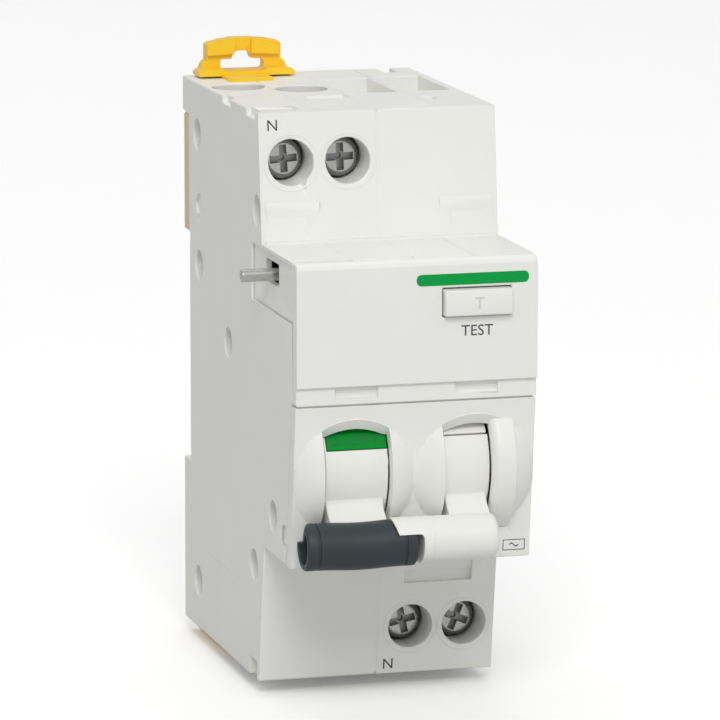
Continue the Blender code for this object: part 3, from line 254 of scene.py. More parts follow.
@dataclass(frozen=True)
class Metal:
    """Plated or bare metal, with fine marks drawn out along one axis and slight staining."""

    name: str
    colour: Point3
    stain: Point3
    roughness: float = 0.28
    drawn: Point3 = (1.0, 1.0, 1.0)
    mark_mm: float = 0.12
    relief_mm: float = 0.004

    def material(self) -> bpy.types.Material:
        """Builds the material."""
        graph = Graph(self.name)
        marks = graph.noise(self.mark_mm, 3.0, self.drawn)
        stain = graph.noise(2.2, 4.0)
        colour = graph.mix((stain.power(2.0) * 0.8).clamped(0.0, 1.0), rgba(self.colour), rgba(self.stain))
        rough = self.roughness + (marks - 0.5) * 0.22 + (stain - 0.5) * 0.12
        normal = graph.bump(marks, 0.4, self.relief_mm, graph.rounded(0.06))
        graph.shader.inputs["Metallic"].default_value = 1.0
        return graph.dress(Base_Color=colour, Roughness=rough.clamped(0.08, 0.9), Normal=normal)


@dataclass(frozen=True)
class Ink:
    """Pad-printed ink, a thin satin film with slightly uneven cover."""

    name: str
    colour: Point3
    base: Point3 = (0.80, 0.80, 0.77)
    cover: float = 0.06

    def material(self) -> bpy.types.Material:
        """Builds the material."""
        graph = Graph(self.name)
        thin = graph.noise(0.22, 3.0)
        colour = graph.mix((thin * self.cover).clamped(0.0, 1.0), rgba(self.colour), rgba(self.base))
        rough = 0.5 + (thin - 0.5) * 0.12
        graph.shader.inputs["Specular IOR Level"].default_value = 0.1
        return graph.dress(Base_Color=colour, Roughness=rough)


@dataclass(frozen=True)
class Laminate:
    """The circuit board: coated glass fibre with a woven look."""

    name: str
    colour: Point3

    def material(self) -> bpy.types.Material:
        """Builds the material."""
        graph = Graph(self.name)
        weave = graph.noise(0.4, 1.0, (1.0, 6.0, 1.0)) * graph.noise(0.4, 1.0, (1.0, 1.0, 6.0))
        colour = graph.mix(weave, rgba(self.colour, 0.7), rgba(self.colour, 1.5))
        return graph.dress(Base_Color=colour, Roughness=0.35 + weave * 0.3, Coat_Weight=0.4)


class Finishes:
    """Every finish of the device, each made once and handed out by name."""

    HOUSING = (0.868, 0.872, 0.838)

    def __init__(self) -> None:
        """Lists the finishes."""
        self.kinds = {
            "housing_white": Moulding("housing_white", self.HOUSING),
            "lever_white": Moulding("lever_white", (0.880, 0.878, 0.846), roughness=0.34, relief_mm=0.005),
            "clip_yellow": Moulding(
                "clip_yellow", (1.0, 0.63, 0.012), roughness=0.30, coat=0.15, relief_mm=0.006
            ),
            "spacer_beige": Moulding("spacer_beige", (0.74, 0.62, 0.42), roughness=0.5, clouds=0.06),
            "grip_slate": Moulding(
                "grip_slate", (0.028, 0.037, 0.044), roughness=0.46, clouds=0.12, relief_mm=0.014
            ),
            "indicator_green": Moulding("indicator_green", (0.001, 0.27, 0.030), roughness=0.5, gloss=0.12),
            "black_moulding": Moulding("black_moulding", (0.022, 0.022, 0.024), clouds=0.15),
            "plated_steel": Metal(
                "plated_steel", (0.66, 0.66, 0.64), (0.42, 0.41, 0.37), drawn=(1.0, 8.0, 8.0)
            ),
            "screw_steel": Metal("screw_steel", (0.66, 0.66, 0.64), (0.44, 0.44, 0.41), roughness=0.27),
            "copper": Metal("copper", (0.86, 0.46, 0.30), (0.42, 0.20, 0.13), roughness=0.30),
            "brass": Metal("brass", (0.80, 0.66, 0.40), (0.45, 0.34, 0.18), roughness=0.34),
            "board_green": Laminate("board_green", (0.02, 0.16, 0.06)),
            # painted shade: a darker copy of the insert's green for its letters, standing in for the shade in
            # engraved letters
            "letter_green_painted_shade": Moulding("letter_green_painted_shade", (0.004, 0.16, 0.035), roughness=0.4),
            # painted shade: darker copies of the screw steel for the screw heads' chamfer and driver recess
            "screw_rim": Metal("screw_rim", (0.30, 0.30, 0.29), (0.20, 0.20, 0.19), roughness=0.36),
            "screw_recess": Metal("screw_recess", (0.36, 0.36, 0.35), (0.22, 0.22, 0.21), roughness=0.34),
            # painted shade: a grey copy of the housing white for the test button's T, standing in for the shade in
            # an engraved T
            "mark_grey_painted_shade": Moulding("mark_grey_painted_shade", (0.70, 0.705, 0.68), roughness=0.5),
            "print_slate": Ink("print_slate", (0.060, 0.075, 0.085)),
            "print_green": Ink("print_green", (0.001, 0.345, 0.060), cover=0.01),
        }
        self.made: dict[str, bpy.types.Material] = {}

    def get(self, name: str) -> bpy.types.Material:
        """The material of a finish, built on first use."""
        if name not in self.made:
            self.made[name] = self.kinds[name].material()
        return self.made[name]


# ------------------------------------------------------------------ mesh tools
def polar(centre: Point2, radius: float, degrees: float) -> Point2:
    """A point in the YZ plane. 0 degrees points out of the front and 90 degrees points up."""
    turn = math.radians(degrees)
    return (centre[0] - radius * math.cos(turn), centre[1] + radius * math.sin(turn))


def arc(centre: Point2, radius: float, start: float, stop: float, steps: int) -> list[Point2]:
    """Points along an arc, both ends included."""
    return [polar(centre, radius, start + (stop - start) * i / steps) for i in range(steps + 1)]


def circle(centre: Point2, radius: float, sides: int) -> list[Point2]:
    """A regular polygon that stands for a circle."""
    return arc(centre, radius, 0.0, 360.0 - 360.0 / sides, sides - 1)


def rounded_outline(corners: Sequence[tuple[float, float, float]], steps: int = 5) -> list[Point2]:
    """An outline with rounded corners.

    Args:
        corners: Each corner as its two coordinates and its radius.
        steps: Segments for each rounded corner.

    Returns:
        The points of the outline.
    """
    points: list[Point2] = []
    count = len(corners)
    for i, (a, b, radius) in enumerate(corners):
        here = Vector((a, b))
        before = (Vector(corners[i - 1][:2]) - here).normalized()
        after = (Vector(corners[(i + 1) % count][:2]) - here).normalized()
        half = before.angle(after) / 2
        if radius <= 0 or half > math.radians(89.5):
            points.append((a, b))
            continue
        reach = radius / math.tan(half)
        start, stop = here + before * reach, here + after * reach
        for k in range(steps + 1):
            t = k / steps
            spot = (1 - t) ** 2 * start + 2 * t * (1 - t) * here + t**2 * stop
            points.append((spot.x, spot.y))
    return points


def new_object(name: str, mesh: bpy.types.Mesh) -> bpy.types.Object:
    """A new object in the scene."""
    obj = bpy.data.objects.new(name, mesh)
    bpy.context.scene.collection.objects.link(obj)
    return obj


def from_bmesh(name: str, shape: bmesh.types.BMesh) -> bpy.types.Object:
    """An object from a bmesh, which is used up."""
    mesh = bpy.data.meshes.new(name)
    shape.to_mesh(mesh)
    shape.free()
    return new_object(name, mesh)


def prism(name: str, outline: Sequence[Point2], axis: Axis, low: float, high: float) -> bpy.types.Object:
    """An outline in millimetres pushed along an axis from low to high.

    Args:
        name: The object's name.
        outline: (y, z) along X, (x, z) along Y or (x, y) along Z.
        axis: The direction.
        low: Where it starts.
        high: Where it ends.

    Returns:
        The solid.
    """

    def spot(a: float, b: float, t: float) -> Vector:
        """One corner in the frame."""
        if axis is Axis.X:
            return Vector((t, a, b)) * MM
        return (Vector((a, t, b)) if axis is Axis.Y else Vector((a, b, t))) * MM

    shape = bmesh.new()
    rings = [[shape.verts.new(spot(a, b, t)) for a, b in outline] for t in (low, high)]
    shape.faces.new(rings[0])
    shape.faces.new(rings[1])
    for i in range(len(outline)):
        j = (i + 1) % len(outline)
        shape.faces.new((rings[0][i], rings[0][j], rings[1][j], rings[1][i]))
    bmesh.ops.recalc_face_normals(shape, faces=shape.faces)
    return from_bmesh(name, shape)


def box(name: str, x: Point2, y: Point2, z: Point2) -> bpy.types.Object:
    """A block between two x, two y and two z values in millimetres."""
    return prism(name, [(x[0], y[0]), (x[1], y[0]), (x[1], y[1]), (x[0], y[1])], Axis.Z, z[0], z[1])


def rod(
    name: str, axis: Axis, centre: Point2, radius: float, low: float, high: float, sides: int = 48
) -> bpy.types.Object:
    """A round bar along an axis."""
    return prism(name, circle(centre, radius, sides), axis, low, high)


def lathe(
    name: str, profile: Sequence[Point2], centre: Point2, steps: int = 64, start: float = 0.0,
    stop: float = 360.0,
) -> bpy.types.Object:
    """A closed profile of (x, radius) points swept round the line along X through centre (y, z)."""
    whole = abs(stop - start) >= 360.0
    count = steps if whole else steps + 1
    shape = bmesh.new()
    rings = []
    for k in range(count):
        angle = start + (stop - start) * k / steps
        ring = []
        for x, radius in profile:
            y, z = polar(centre, radius, angle)
            ring.append(shape.verts.new(Vector((x, y, z)) * MM))
        rings.append(ring)
    size = len(profile)
    for k in range(steps):
        near, far = rings[k], rings[(k + 1) % count]
        for i in range(size):
            j = (i + 1) % size
            shape.faces.new((near[i], near[j], far[j], far[i]))
    if not whole:
        shape.faces.new(rings[0])
        shape.faces.new(rings[-1])
    bmesh.ops.remove_doubles(shape, verts=shape.verts, dist=WELD)
    bmesh.ops.recalc_face_normals(shape, faces=shape.faces)
    return from_bmesh(name, shape)


def ball(name: str, centre: Point3, radius: float, across: int = 96, around: int = 64) -> bpy.types.Object:
    """A sphere with its poles along X."""
    shape = bmesh.new()
    bmesh.ops.create_uvsphere(shape, u_segments=across, v_segments=around, radius=radius * MM)
    bmesh.ops.rotate(shape, verts=shape.verts, matrix=Matrix.Rotation(math.pi / 2, 3, "Y"))
    bmesh.ops.translate(shape, verts=shape.verts, vec=Vector(centre) * MM)
    return from_bmesh(name, shape)


def combine(target: bpy.types.Object, others: Sequence[bpy.types.Object], operation: str) -> bpy.types.Object:
    """One exact Boolean of the target with all the others, which are used up."""
    group = bpy.data.collections.new("operands")
    for other in others:
        group.objects.link(other)
    modifier = target.modifiers.new("combine", "BOOLEAN")
    modifier.operation = operation
    modifier.solver = "EXACT"
    modifier.operand_type = "COLLECTION"
    modifier.collection = group
    target.data = evaluated_mesh(target)
    target.modifiers.clear()
    for other in others:
        bpy.data.objects.remove(other)
    bpy.data.collections.remove(group)
    return target


def cut(target: bpy.types.Object, cutters: Sequence[bpy.types.Object]) -> bpy.types.Object:
    """The target with the cutters taken away."""
    return combine(target, cutters, "DIFFERENCE")


def join(target: bpy.types.Object, others: Sequence[bpy.types.Object]) -> bpy.types.Object:
    """The target and the others as one solid."""
    return combine(target, others, "UNION")


def merged(name: str, pieces: Sequence[bpy.types.Object]) -> bpy.types.Object:
    """Several closed pieces as one object, without a Boolean. The pieces are used up."""
    shape = bmesh.new()
    for piece in pieces:
        shape.from_mesh(piece.data)
        bpy.data.objects.remove(piece)
    return from_bmesh(name, shape)


def evaluated_mesh(obj: bpy.types.Object) -> bpy.types.Mesh:
    """The object's mesh with its modifiers applied, as a plain mesh."""
    graph = bpy.context.evaluated_depsgraph_get()
    return bpy.data.meshes.new_from_object(obj.evaluated_get(graph))


def soften(
    obj: bpy.types.Object, width_mm: float, room: float = 2.4, sharp: float = 32.0, crease: float = 50.0
) -> None:
    """Rounds the long sharp edges of a mesh, and shades it smooth between the rest.

    Edges near a spot where the rounding would fold over itself are left sharp.

    Args:
        obj: The object, whose mesh is changed.
        width_mm: How far each edge is cut back.
        room: How many widths long an edge and its neighbours must be.
        sharp: Degrees from which an edge counts as sharp.
        crease: Degrees from which an edge of the rounded mesh keeps its faces apart in the shading.
    """
    width = width_mm * MM
    avoid: list[Vector] = []
    for attempt in range(SOFTEN_TRIES):
        shape = bmesh.new()
        shape.from_mesh(obj.data)
        bmesh.ops.remove_doubles(shape, verts=shape.verts, dist=2 * WELD)
        bmesh.ops.dissolve_limit(
            shape, angle_limit=math.radians(0.2), verts=shape.verts, edges=shape.edges, delimit={"NORMAL"}
        )
        short = {v for e in shape.edges if e.calc_length() < width * room for v in e.verts}
        chosen = [
            e for e in shape.edges
            if len(e.link_faces) == 2 and e.calc_face_angle(0.0) > math.radians(sharp)
            and not short.intersection(e.verts)
        ]
        near = near_edges(chosen, avoid, width * 3)
        chosen = [e for i, e in enumerate(chosen) if i not in near]
        if not chosen:
            break
        bmesh.ops.bevel(
            shape, geom=chosen, offset=width, offset_type="OFFSET", segments=2, profile=0.5,
            affect="EDGES", clamp_overlap=False, loop_slide=True, face_strength_mode="ALL",
        )
        bmesh.ops.remove_doubles(shape, verts=shape.verts, dist=WELD)
        bmesh.ops.triangulate(shape, faces=[f for f in shape.faces if len(f.verts) > 4])
        folds = fold_spots(shape)
        if not folds:
            shape.to_mesh(obj.data)
            shape.free()
            break
        avoid += folds
        shape.free()
    LOG.info("%s: %d edges rounded at try %d", obj.name, len(chosen), attempt + 1)
    smooth(obj, crease)


def near_edges(edges: Sequence[bmesh.types.BMEdge], spots: Sequence[Vector], limit: float) -> set[int]:
    """The places in a list of edges of those that pass within a distance of any of the spots."""
    if not spots or not edges:
        return set()
    start = np.array([e.verts[0].co for e in edges])[:, None]
    along = np.array([e.verts[1].co for e in edges])[:, None] - start
    offset = np.array(spots)[None] - start
    share = np.clip((offset * along).sum(2) / np.maximum((along**2).sum(2), 1e-18), 0.0, 1.0)
    gaps = np.linalg.norm(along * share[..., None] - offset, axis=2)
    return set(np.nonzero(gaps.min(axis=1) < limit)[0].tolist())


def fold_spots(shape: bmesh.types.BMesh) -> list[Vector]:
    """The middles of the edges whose two faces lie back to back, one for each small area."""
    spots: list[Vector] = []
    for edge in shape.edges:
        if len(edge.link_faces) != 2 or edge.calc_face_angle(0.0) > FOLD_ANGLE:
            middle = (edge.verts[0].co + edge.verts[1].co) / 2
            spots += [v.co.copy() for v in edge.verts] + [middle]
    return spots


def smooth(obj: bpy.types.Object, sharp: float = 50.0) -> None:
    """Shades a mesh smooth apart from its sharp edges, with the large flat faces kept flat."""
    obj.data.shade_smooth()
    obj.data.set_sharp_from_angle(angle=math.radians(sharp))
    modifier = obj.modifiers.new("weigh", "WEIGHTED_NORMAL")
    modifier.mode = "FACE_AREA"
    modifier.weight = 100
    modifier.keep_sharp = True
    modifier.use_face_influence = True
    obj.data = evaluated_mesh(obj)
    obj.modifiers.clear()


def copy_of(node: str, name: str) -> bpy.types.Object:
    """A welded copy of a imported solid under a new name."""
    shape = bmesh.new()
    shape.from_mesh(FRAME["nodes"][node].data)
    bmesh.ops.remove_doubles(shape, verts=shape.verts, dist=2 * WELD)
    return from_bmesh(name, shape)


def bounds_mm(node: str) -> tuple[Vector, Vector]:
    """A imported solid's lowest and highest corners in millimetres."""
    low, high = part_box(node)
    return low / MM, high / MM


def shoulder_at(z: float) -> tuple[float, float]:
    """The y of the front shoulder at a height, and the shoulder's lean in radians."""
    (outer_y, outer_z), (inner_y, inner_z) = TOP_SHOULDER if z > 0 else LOW_SHOULDER
    slope = (inner_y - outer_y) / (inner_z - outer_z)
    return outer_y + slope * (z - outer_z), math.atan(slope)


def joint_mm(name: str) -> Vector:
    """A joint's place in millimetres."""
    return Vector(next(j["pos_m"] for j in FRAME["joints"] if j["name"] == name)) / MM


def lettering(
    name: str, text: str, height_mm: float, thick_mm: float, at: Point3, spread: float = 1.0
) -> bpy.types.Object:
    """Upright generic lettering on a plane that faces the front, centred on a point."""
    curve = bpy.data.curves.new(name, "FONT")
    curve.body = text
    curve.size = height_mm * MM * 1.4
    curve.extrude = thick_mm * MM / 2
    curve.align_x = "CENTER"
    curve.align_y = "CENTER"
    curve.resolution_u = 4
    curve.space_character = spread
    guide = new_object(name + "_guide", curve)
    mesh = evaluated_mesh(guide)
    bpy.data.objects.remove(guide)
    mesh.transform(Matrix.Translation(Vector(at) * MM) @ Matrix.Rotation(math.pi / 2, 4, "X"))
    obj = new_object(name, mesh)
    shape = bmesh.new()
    shape.from_mesh(mesh)
    bmesh.ops.remove_doubles(shape, verts=shape.verts, dist=WELD)
    bmesh.ops.recalc_face_normals(shape, faces=shape.faces)
    shape.to_mesh(mesh)
    shape.free()
    return obj


# ------------------------------------------------------------------ geometry nodes
class MeshTree:
    """A Geometry Nodes tree under construction, with named inputs and a short way to add nodes."""

    def __init__(self, name: str, inputs: dict[str, tuple[str, Any]]) -> None:
        """Makes the tree.

        Args:
            name: The tree's name.
            inputs: Each input's socket type and default by its name.
        """
        self.tree = bpy.data.node_groups.new(name, "GeometryNodeTree")
        face = self.tree.interface
        face.new_socket(name="Geometry", in_out="INPUT", socket_type="NodeSocketGeometry")
        face.new_socket(name="Geometry", in_out="OUTPUT", socket_type="NodeSocketGeometry")
        self.keys: dict[str, str] = {}
        for key, (kind, value) in inputs.items():
            socket = face.new_socket(name=key, in_out="INPUT", socket_type=kind)
            socket.default_value = value
            self.keys[key] = socket.identifier
        self.given = self.tree.nodes.new("NodeGroupInput")
        self.output = self.tree.nodes.new("NodeGroupOutput")

    def value(self, name: str) -> bpy.types.NodeSocket:
        """One of the tree's inputs as a socket."""
        return self.given.outputs[name]

    def node(
        self, kind: str, settings: dict[str, Any] | None = None, inputs: dict[Any, Any] | None = None
    ) -> bpy.types.Node:
        """Adds a node, with its settings first and then its sockets' values or links."""
        made = self.tree.nodes.new(kind)
        for key, value in (settings or {}).items():
            setattr(made, key, value)
        for key, value in (inputs or {}).items():
            for item in value if isinstance(value, list) else [value]:
                if isinstance(item, bpy.types.NodeSocket):
                    self.tree.links.new(item, made.inputs[key])
                else:
                    made.inputs[key].default_value = item
        return made

    def sum(self, first: Any, second: Any, operation: str = "ADD") -> bpy.types.NodeSocket:
        """Two numbers put through one Math node."""
        return self.node("ShaderNodeMath", {"operation": operation}, {0: first, 1: second}).outputs[0]

    def moved(self, geometry: bpy.types.NodeSocket, **change: Any) -> bpy.types.NodeSocket:
        """Geometry that is moved or turned."""
        return self.node("GeometryNodeTransform", {}, {"Geometry": geometry, **change}).outputs[0]

    def boolean(self, operation: str, **meshes: Any) -> bpy.types.NodeSocket:
        """The exact union or difference of meshes; an underscore in a keyword stands for a space."""
        inputs = {key.replace("_", " "): value for key, value in meshes.items()}
        settings = {"operation": operation, "solver": "EXACT"}
        return self.node("GeometryNodeMeshBoolean", settings, inputs).outputs[0]

    def scattered(self, points: Any, instance: Any) -> bpy.types.NodeSocket:
        """An instance on each point."""
        inputs = {"Points": points, "Instance": instance}
        return self.node("GeometryNodeInstanceOnPoints", {}, inputs).outputs[0]

    def drum(self, radius: Any, depth: Any, offset: Any, sides: int = 32) -> bpy.types.NodeSocket:
        """A cylinder along Z whose middle is at an offset along Z."""
        made = self.node(
            "GeometryNodeMeshCylinder", {}, {"Vertices": sides, "Radius": radius, "Depth": depth}
        ).outputs["Mesh"]
        lift = self.node("ShaderNodeCombineXYZ", {}, {"Z": offset}).outputs[0]
        return self.node("GeometryNodeTransform", {}, {"Geometry": made, "Translation": lift}).outputs[0]

    def close(self, geometry: bpy.types.NodeSocket, material: bpy.types.Material) -> None:
        """Ends the tree in Realize Instances and Set Material."""
        real = self.node("GeometryNodeRealizeInstances", {}, {0: geometry}).outputs[0]
        done = self.node("GeometryNodeSetMaterial", {}, {"Geometry": real, "Material": material}).outputs[0]
        self.tree.links.new(done, self.output.inputs[0])

    def grow(self, name: str, seeds: Iterable[Point3], values: dict[str, Any]) -> bpy.types.Object:
        """Runs the tree on points and keeps its result as a plain mesh.

        Args:
            name: The object's name.
            seeds: Points in metres that the tree starts from.
            values: Values for the tree's inputs by name.

        Returns:
            The object with its finished mesh.
        """
        mesh = bpy.data.meshes.new(name)
        mesh.from_pydata([tuple(seed) for seed in seeds], [], [])
        obj = new_object(name, mesh)
        modifier = obj.modifiers.new("grow", "NODES")
        modifier.node_group = self.tree
        for key, value in values.items():
            modifier[self.keys[key]] = value
        obj.data = evaluated_mesh(obj)
        obj.modifiers.clear()
        return obj


# ------------------------------------------------------------------ the device
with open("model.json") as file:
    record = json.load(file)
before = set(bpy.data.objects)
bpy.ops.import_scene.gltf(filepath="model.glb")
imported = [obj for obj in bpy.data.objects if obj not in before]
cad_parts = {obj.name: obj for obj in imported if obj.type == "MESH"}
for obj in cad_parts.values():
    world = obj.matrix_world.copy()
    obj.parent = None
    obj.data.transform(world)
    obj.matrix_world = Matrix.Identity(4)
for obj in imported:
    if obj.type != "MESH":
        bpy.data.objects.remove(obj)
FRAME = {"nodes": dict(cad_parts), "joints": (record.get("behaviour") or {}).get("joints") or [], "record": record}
CAD_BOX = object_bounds()


@dataclass
class Assembly:
    """What every sub-assembly shares: the finishes, and the way a piece is put in its place."""

    finishes: Finishes
    pieces: list[bpy.types.Object] = field(default_factory=list)

    def fit(
        self, obj: bpy.types.Object, finish: str, body: str, slot: str, nodes: Sequence[str] = (),
        keep_materials: bool = False,
    ) -> bpy.types.Object:
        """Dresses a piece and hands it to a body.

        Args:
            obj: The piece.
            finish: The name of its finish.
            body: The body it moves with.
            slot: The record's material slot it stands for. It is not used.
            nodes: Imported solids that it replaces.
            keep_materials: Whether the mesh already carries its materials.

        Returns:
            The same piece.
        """
        if not keep_materials:
            obj.data.materials.clear()
            obj.data.materials.append(self.finishes.get(finish))
        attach(obj, body)
        if nodes:
            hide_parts(*nodes)
        self.pieces.append(obj)
        LOG.info("%s: %s on %s, %d faces", obj.name, finish, body, len(obj.data.polygons))
        return obj


@dataclass
class Housing(Assembly):
    """The four riveted shells, the fascia, the beige spacer and the rivets."""

    edge_mm: float = 0.28
    fine_edge_mm: float = 0.16
    rivet_shank: float = 1.4
    rivet_head: float = 1.95

    def build(self) -> None:
        """Makes every piece."""
        shells = [f"{unit}_{side}_shell" for unit in ("breaker", "residual") for side in ("left", "right")]
        for node in shells:
            shell = copy_of(node, node.replace("_shell", "_housing"))
            soften(shell, self.edge_mm if node == "breaker_left_shell" else self.fine_edge_mm, crease=20.0)
            self.fit(shell, "housing_white", "device", "housing_white", [node])
        self._fascia()
        self._spacer()
        self._rivets()
        self._engraving()
        self._seam()

    def _seam(self) -> None:
        """The tongues that close the joints between the four shells, a hair below their faces."""
        low, high = bounds_mm("breaker_right_shell")
        deep, half = 0.05, 0.3
        strips = []
        for x in (-9.0, 0.0, 9.0):
            left, right = x - half, x + half
            foot_y, foot_z = (-43.2, -30.6) if x > 0 else (-44.35, -22.7)
            strips += [
                prism("front_seam", [
                    (-41.55 + deep, high.z - 0.4), (-43.6 + deep, 22.9),
                    (-42.4 + deep, 22.9), (-40.4, high.z - 0.4),
                ], Axis.X, left, right),
                prism("foot_seam", [
                    (-41.3 + deep, low.z + 0.4), (foot_y + deep, foot_z),
                    (foot_y + 1.25, foot_z), (-40.1, low.z + 0.4),
                ], Axis.X, left, right),
                box("top_seam", (left, right), (-41.2, -16.0 if x else -28.2), (high.z - 0.9, high.z - deep)),
                box("low_seam", (left, right), (-40.9, -0.4), (low.z + deep, low.z + 0.9)),
                box("nose_seam", (left, right), (-60.5, -44.0), (NOSE_Z - 0.9, NOSE_Z - deep)),
            ]
        strips += [
            box("sill", (-17.5, 17.5), (-62.2, -61.4), (1.3, 2.2)),
            box("eaves", (-17.5, 17.5), (-44.4, -42.9), (22.2, 22.9)),
        ]
        tongue = merged("joint_tongues", strips)
        self.fit(tongue, "housing_white", "device", "housing_white")

    def _fascia(self) -> None:
        """The front plate, with soft edges."""
        plate = copy_of("label_fascia", "front_fascia")
        soften(plate, 0.22, crease=6.0)
        self.fit(plate, "housing_white", "device", "housing_white", ["label_fascia"])

    def _spacer(self) -> None:
        """The strip at the left back edge."""
        strip = copy_of("rear_spacer", "rear_strip")
        soften(strip, 0.2)
        self.fit(strip, "spacer_beige", "device", "spacer_beige", ["rear_spacer"])

    def _rivets(self) -> None:
        """All seven rivets from one tree of nodes."""
        steel = self.finishes.get("screw_steel")
        tree = MeshTree("rivet", {
            "Shank Radius": ("NodeSocketFloat", 0.0014),
            "Shank Length": ("NodeSocketFloat", 0.030),
            "Head Radius": ("NodeSocketFloat", 0.002),
            "Head Height": ("NodeSocketFloat", 0.001),
            "Eyelet Radius": ("NodeSocketFloat", 0.0009),
        })
        reach = tree.sum(tree.value("Shank Length"), 0.5, "MULTIPLY")
        back = tree.sum(reach, -1.0, "MULTIPLY")
        half = tree.sum(tree.value("Head Height"), 0.5, "MULTIPLY")
        shank = tree.drum(tree.value("Shank Radius"), tree.value("Shank Length"), 0.0)
        tops = [
            tree.drum(tree.value("Head Radius"), tree.value("Head Height"), middle)
            for middle in (tree.sum(reach, half, "SUBTRACT"), tree.sum(back, half))
        ]
        solid = tree.boolean("UNION", Mesh_2=[shank, *tops])
        eyelets = [
            tree.drum(tree.value("Eyelet Radius"), tree.value("Head Height"), end) for end in (reach, back)
        ]
        solid = tree.boolean("DIFFERENCE", Mesh_1=solid, Mesh_2=eyelets)
        turned = tree.moved(solid, Rotation=(0.0, math.pi / 2, 0.0))
        tree.close(tree.scattered(tree.value("Geometry"), turned), steel)
        nodes = [f"rivet_{i}" for i in range(1, 8)]
        places = [(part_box(n)[0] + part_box(n)[1]) / 2 for n in nodes]
        low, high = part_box(nodes[0])
        rivets = tree.grow("through_rivets", [tuple(p) for p in places], {
            "Shank Radius": self.rivet_shank * MM, "Shank Length": float(high.x - low.x),
            "Head Radius": self.rivet_head * MM, "Head Height": 1.0 * MM, "Eyelet Radius": 0.9 * MM,
        })
        soften(rivets, 0.12, room=1.5)
        self.fit(rivets, "screw_steel", "device", "plated_steel", nodes)

    def _engraving(self) -> None:
        """The thin parting line that a tool insert leaves on the left side."""
        left = bounds_mm("breaker_left_shell")[0].x
        foot = bounds_mm("breaker_left_shell")[0].z
        path = [(-8.3, foot + 0.4), (-8.3, foot + 12.2)]
        path += arc((-9.3, foot + 12.2), 1.0, 180.0, 90.0, 5)[1:]
        path += [(-31.4, foot + 13.2)]
        path += arc((-31.4, foot + 14.2), 1.0, 270.0, 360.0, 5)[1:]
        path += [(-32.4, foot + 20.6)]
        line = ribbon("insert_line", path, 0.09, left - 0.015, left + 0.04)
        self.fit(line, "housing_white", "device", "housing_white")


def ribbon(name: str, path: Sequence[Point2], width: float, low: float, high: float) -> bpy.types.Object:
    """A flat strip that follows a path in the YZ plane, standing between two x values."""
    count = len(path)
    sides: list[list[Point2]] = [[], []]
    for i, spot in enumerate(path):
        before = Vector(path[max(i - 1, 0)])
        after = Vector(path[min(i + 1, count - 1)])
        along = (after - before).normalized()
        square = Vector((along.y, -along.x)) * width
        sides[0].append(tuple(Vector(spot) + square))
        sides[1].append(tuple(Vector(spot) - square))
    return prism(name, sides[0] + sides[1][::-1], Axis.X, low, high)


@dataclass
class LeverPanel(Assembly):
    """The sloping plate with its two domes, the lever openings and the fixed cheek."""

    dome_radius: float = 12.2
    plate: float = 2.2
    slot_half: float = 5.0
    drum_radius: float = 9.3
    gap: float = 0.3
    slot_top: float = -0.5
    lip: float = -2.85
    slot_low: float = -17.9
    cheek_x: float = 11.2

    def build(self) -> None:
        """Makes the panel."""
        axis = joint_mm("breaker_lever_swing")
        centre = (axis.y, axis.z)
        low, high = bounds_mm("lever_panel")
        top_y, foot_y = PANEL_FACE[0][0], high.y - self.plate
        outline = [
            (top_y, high.z), (foot_y, low.z), (foot_y + self.plate, low.z), (top_y + self.plate, high.z)
        ]
        panel = prism("lever_front", outline, Axis.X, low.x, high.x)
        keep_outline = [
            (top_y + 1.1, high.z - 0.4), (foot_y + 1.1, low.z + 0.4),
            (-72.0, low.z + 0.4), (-72.0, high.z - 0.4),
        ]
        domes = []
        for mid in BODY_MIDS:
            dome = ball("dome", (mid, *centre), self.dome_radius)
            keep = prism("keep", keep_outline, Axis.X, mid - 9.0, mid + 9.0)
            domes.append(combine(dome, [keep], "INTERSECT"))
        join(panel, domes)
        cutters = [ball("hollow", (mid, *centre), self.dome_radius - 1.7, 64, 40) for mid in BODY_MIDS]
        bore = self.drum_radius + self.gap
        for mid in BODY_MIDS:
            cutters.append(rod("sweep", Axis.X, centre, bore, mid - self.slot_half, mid + self.slot_half, 96))
            cutters.append(self._opening(mid))
        cut(panel, cutters)
        join(panel, [self._cheek(centre, bore)])
        soften(panel, 0.16, room=1.2, sharp=38.0)
        self.fit(panel, "housing_white", "device", "housing_white", ["lever_panel"])

    def _opening(self, mid: float) -> bpy.types.Object:
        """A lever opening with an arched top edge and a lip that slopes in to the drum."""
        half, top = self.slot_half, self.slot_top
        arch = [
            (mid + half * math.sin(math.radians(t)) / math.sin(math.radians(50)),
             (1 - math.cos(math.radians(t))) / (1 - math.cos(math.radians(50))))
            for t in range(-50, 51, 5)
        ]
        front = [(mid - half, None)] + arch + [(mid + half, None)]
        shape = bmesh.new()
        rings = []
        steps = ((-75.0, top, 1.2), (-62.5, top, 1.2), (-61.0, self.lip, 0.55), (-50.0, self.lip, 0.55))
        for y, crown, sag in steps:
            rings.append([
                shape.verts.new(Vector((x, y, self.slot_low if t is None else crown - sag * t)) * MM)
                for x, t in front
            ])
        size = len(front)
        for near, far in zip(rings, rings[1:]):
            for i in range(size):
                j = (i + 1) % size
                shape.faces.new((near[i], near[j], far[j], far[i]))
        shape.faces.new(rings[0])
        shape.faces.new(rings[-1])
        bmesh.ops.recalc_face_normals(shape, faces=shape.faces)
        return from_bmesh("opening", shape)

    def _cheek(self, centre: Point2, bore: float) -> bpy.types.Object:
        """The fixed rounded cheek beside the narrower right drum."""
        outer = BODY_MIDS[1] + self.slot_half + 0.6
        turn = [math.radians(t) for t in range(0, 91, 15)]
        crown = [(self.cheek_x + 1.3 * (1 - math.cos(t)), bore + 0.55 + 1.3 * math.sin(t)) for t in turn]
        profile = [(self.cheek_x, bore)] + crown + [(outer, bore + 1.95), (outer, bore)]
        return lathe("cheek", profile, centre, 54, -61.0, 40.0)


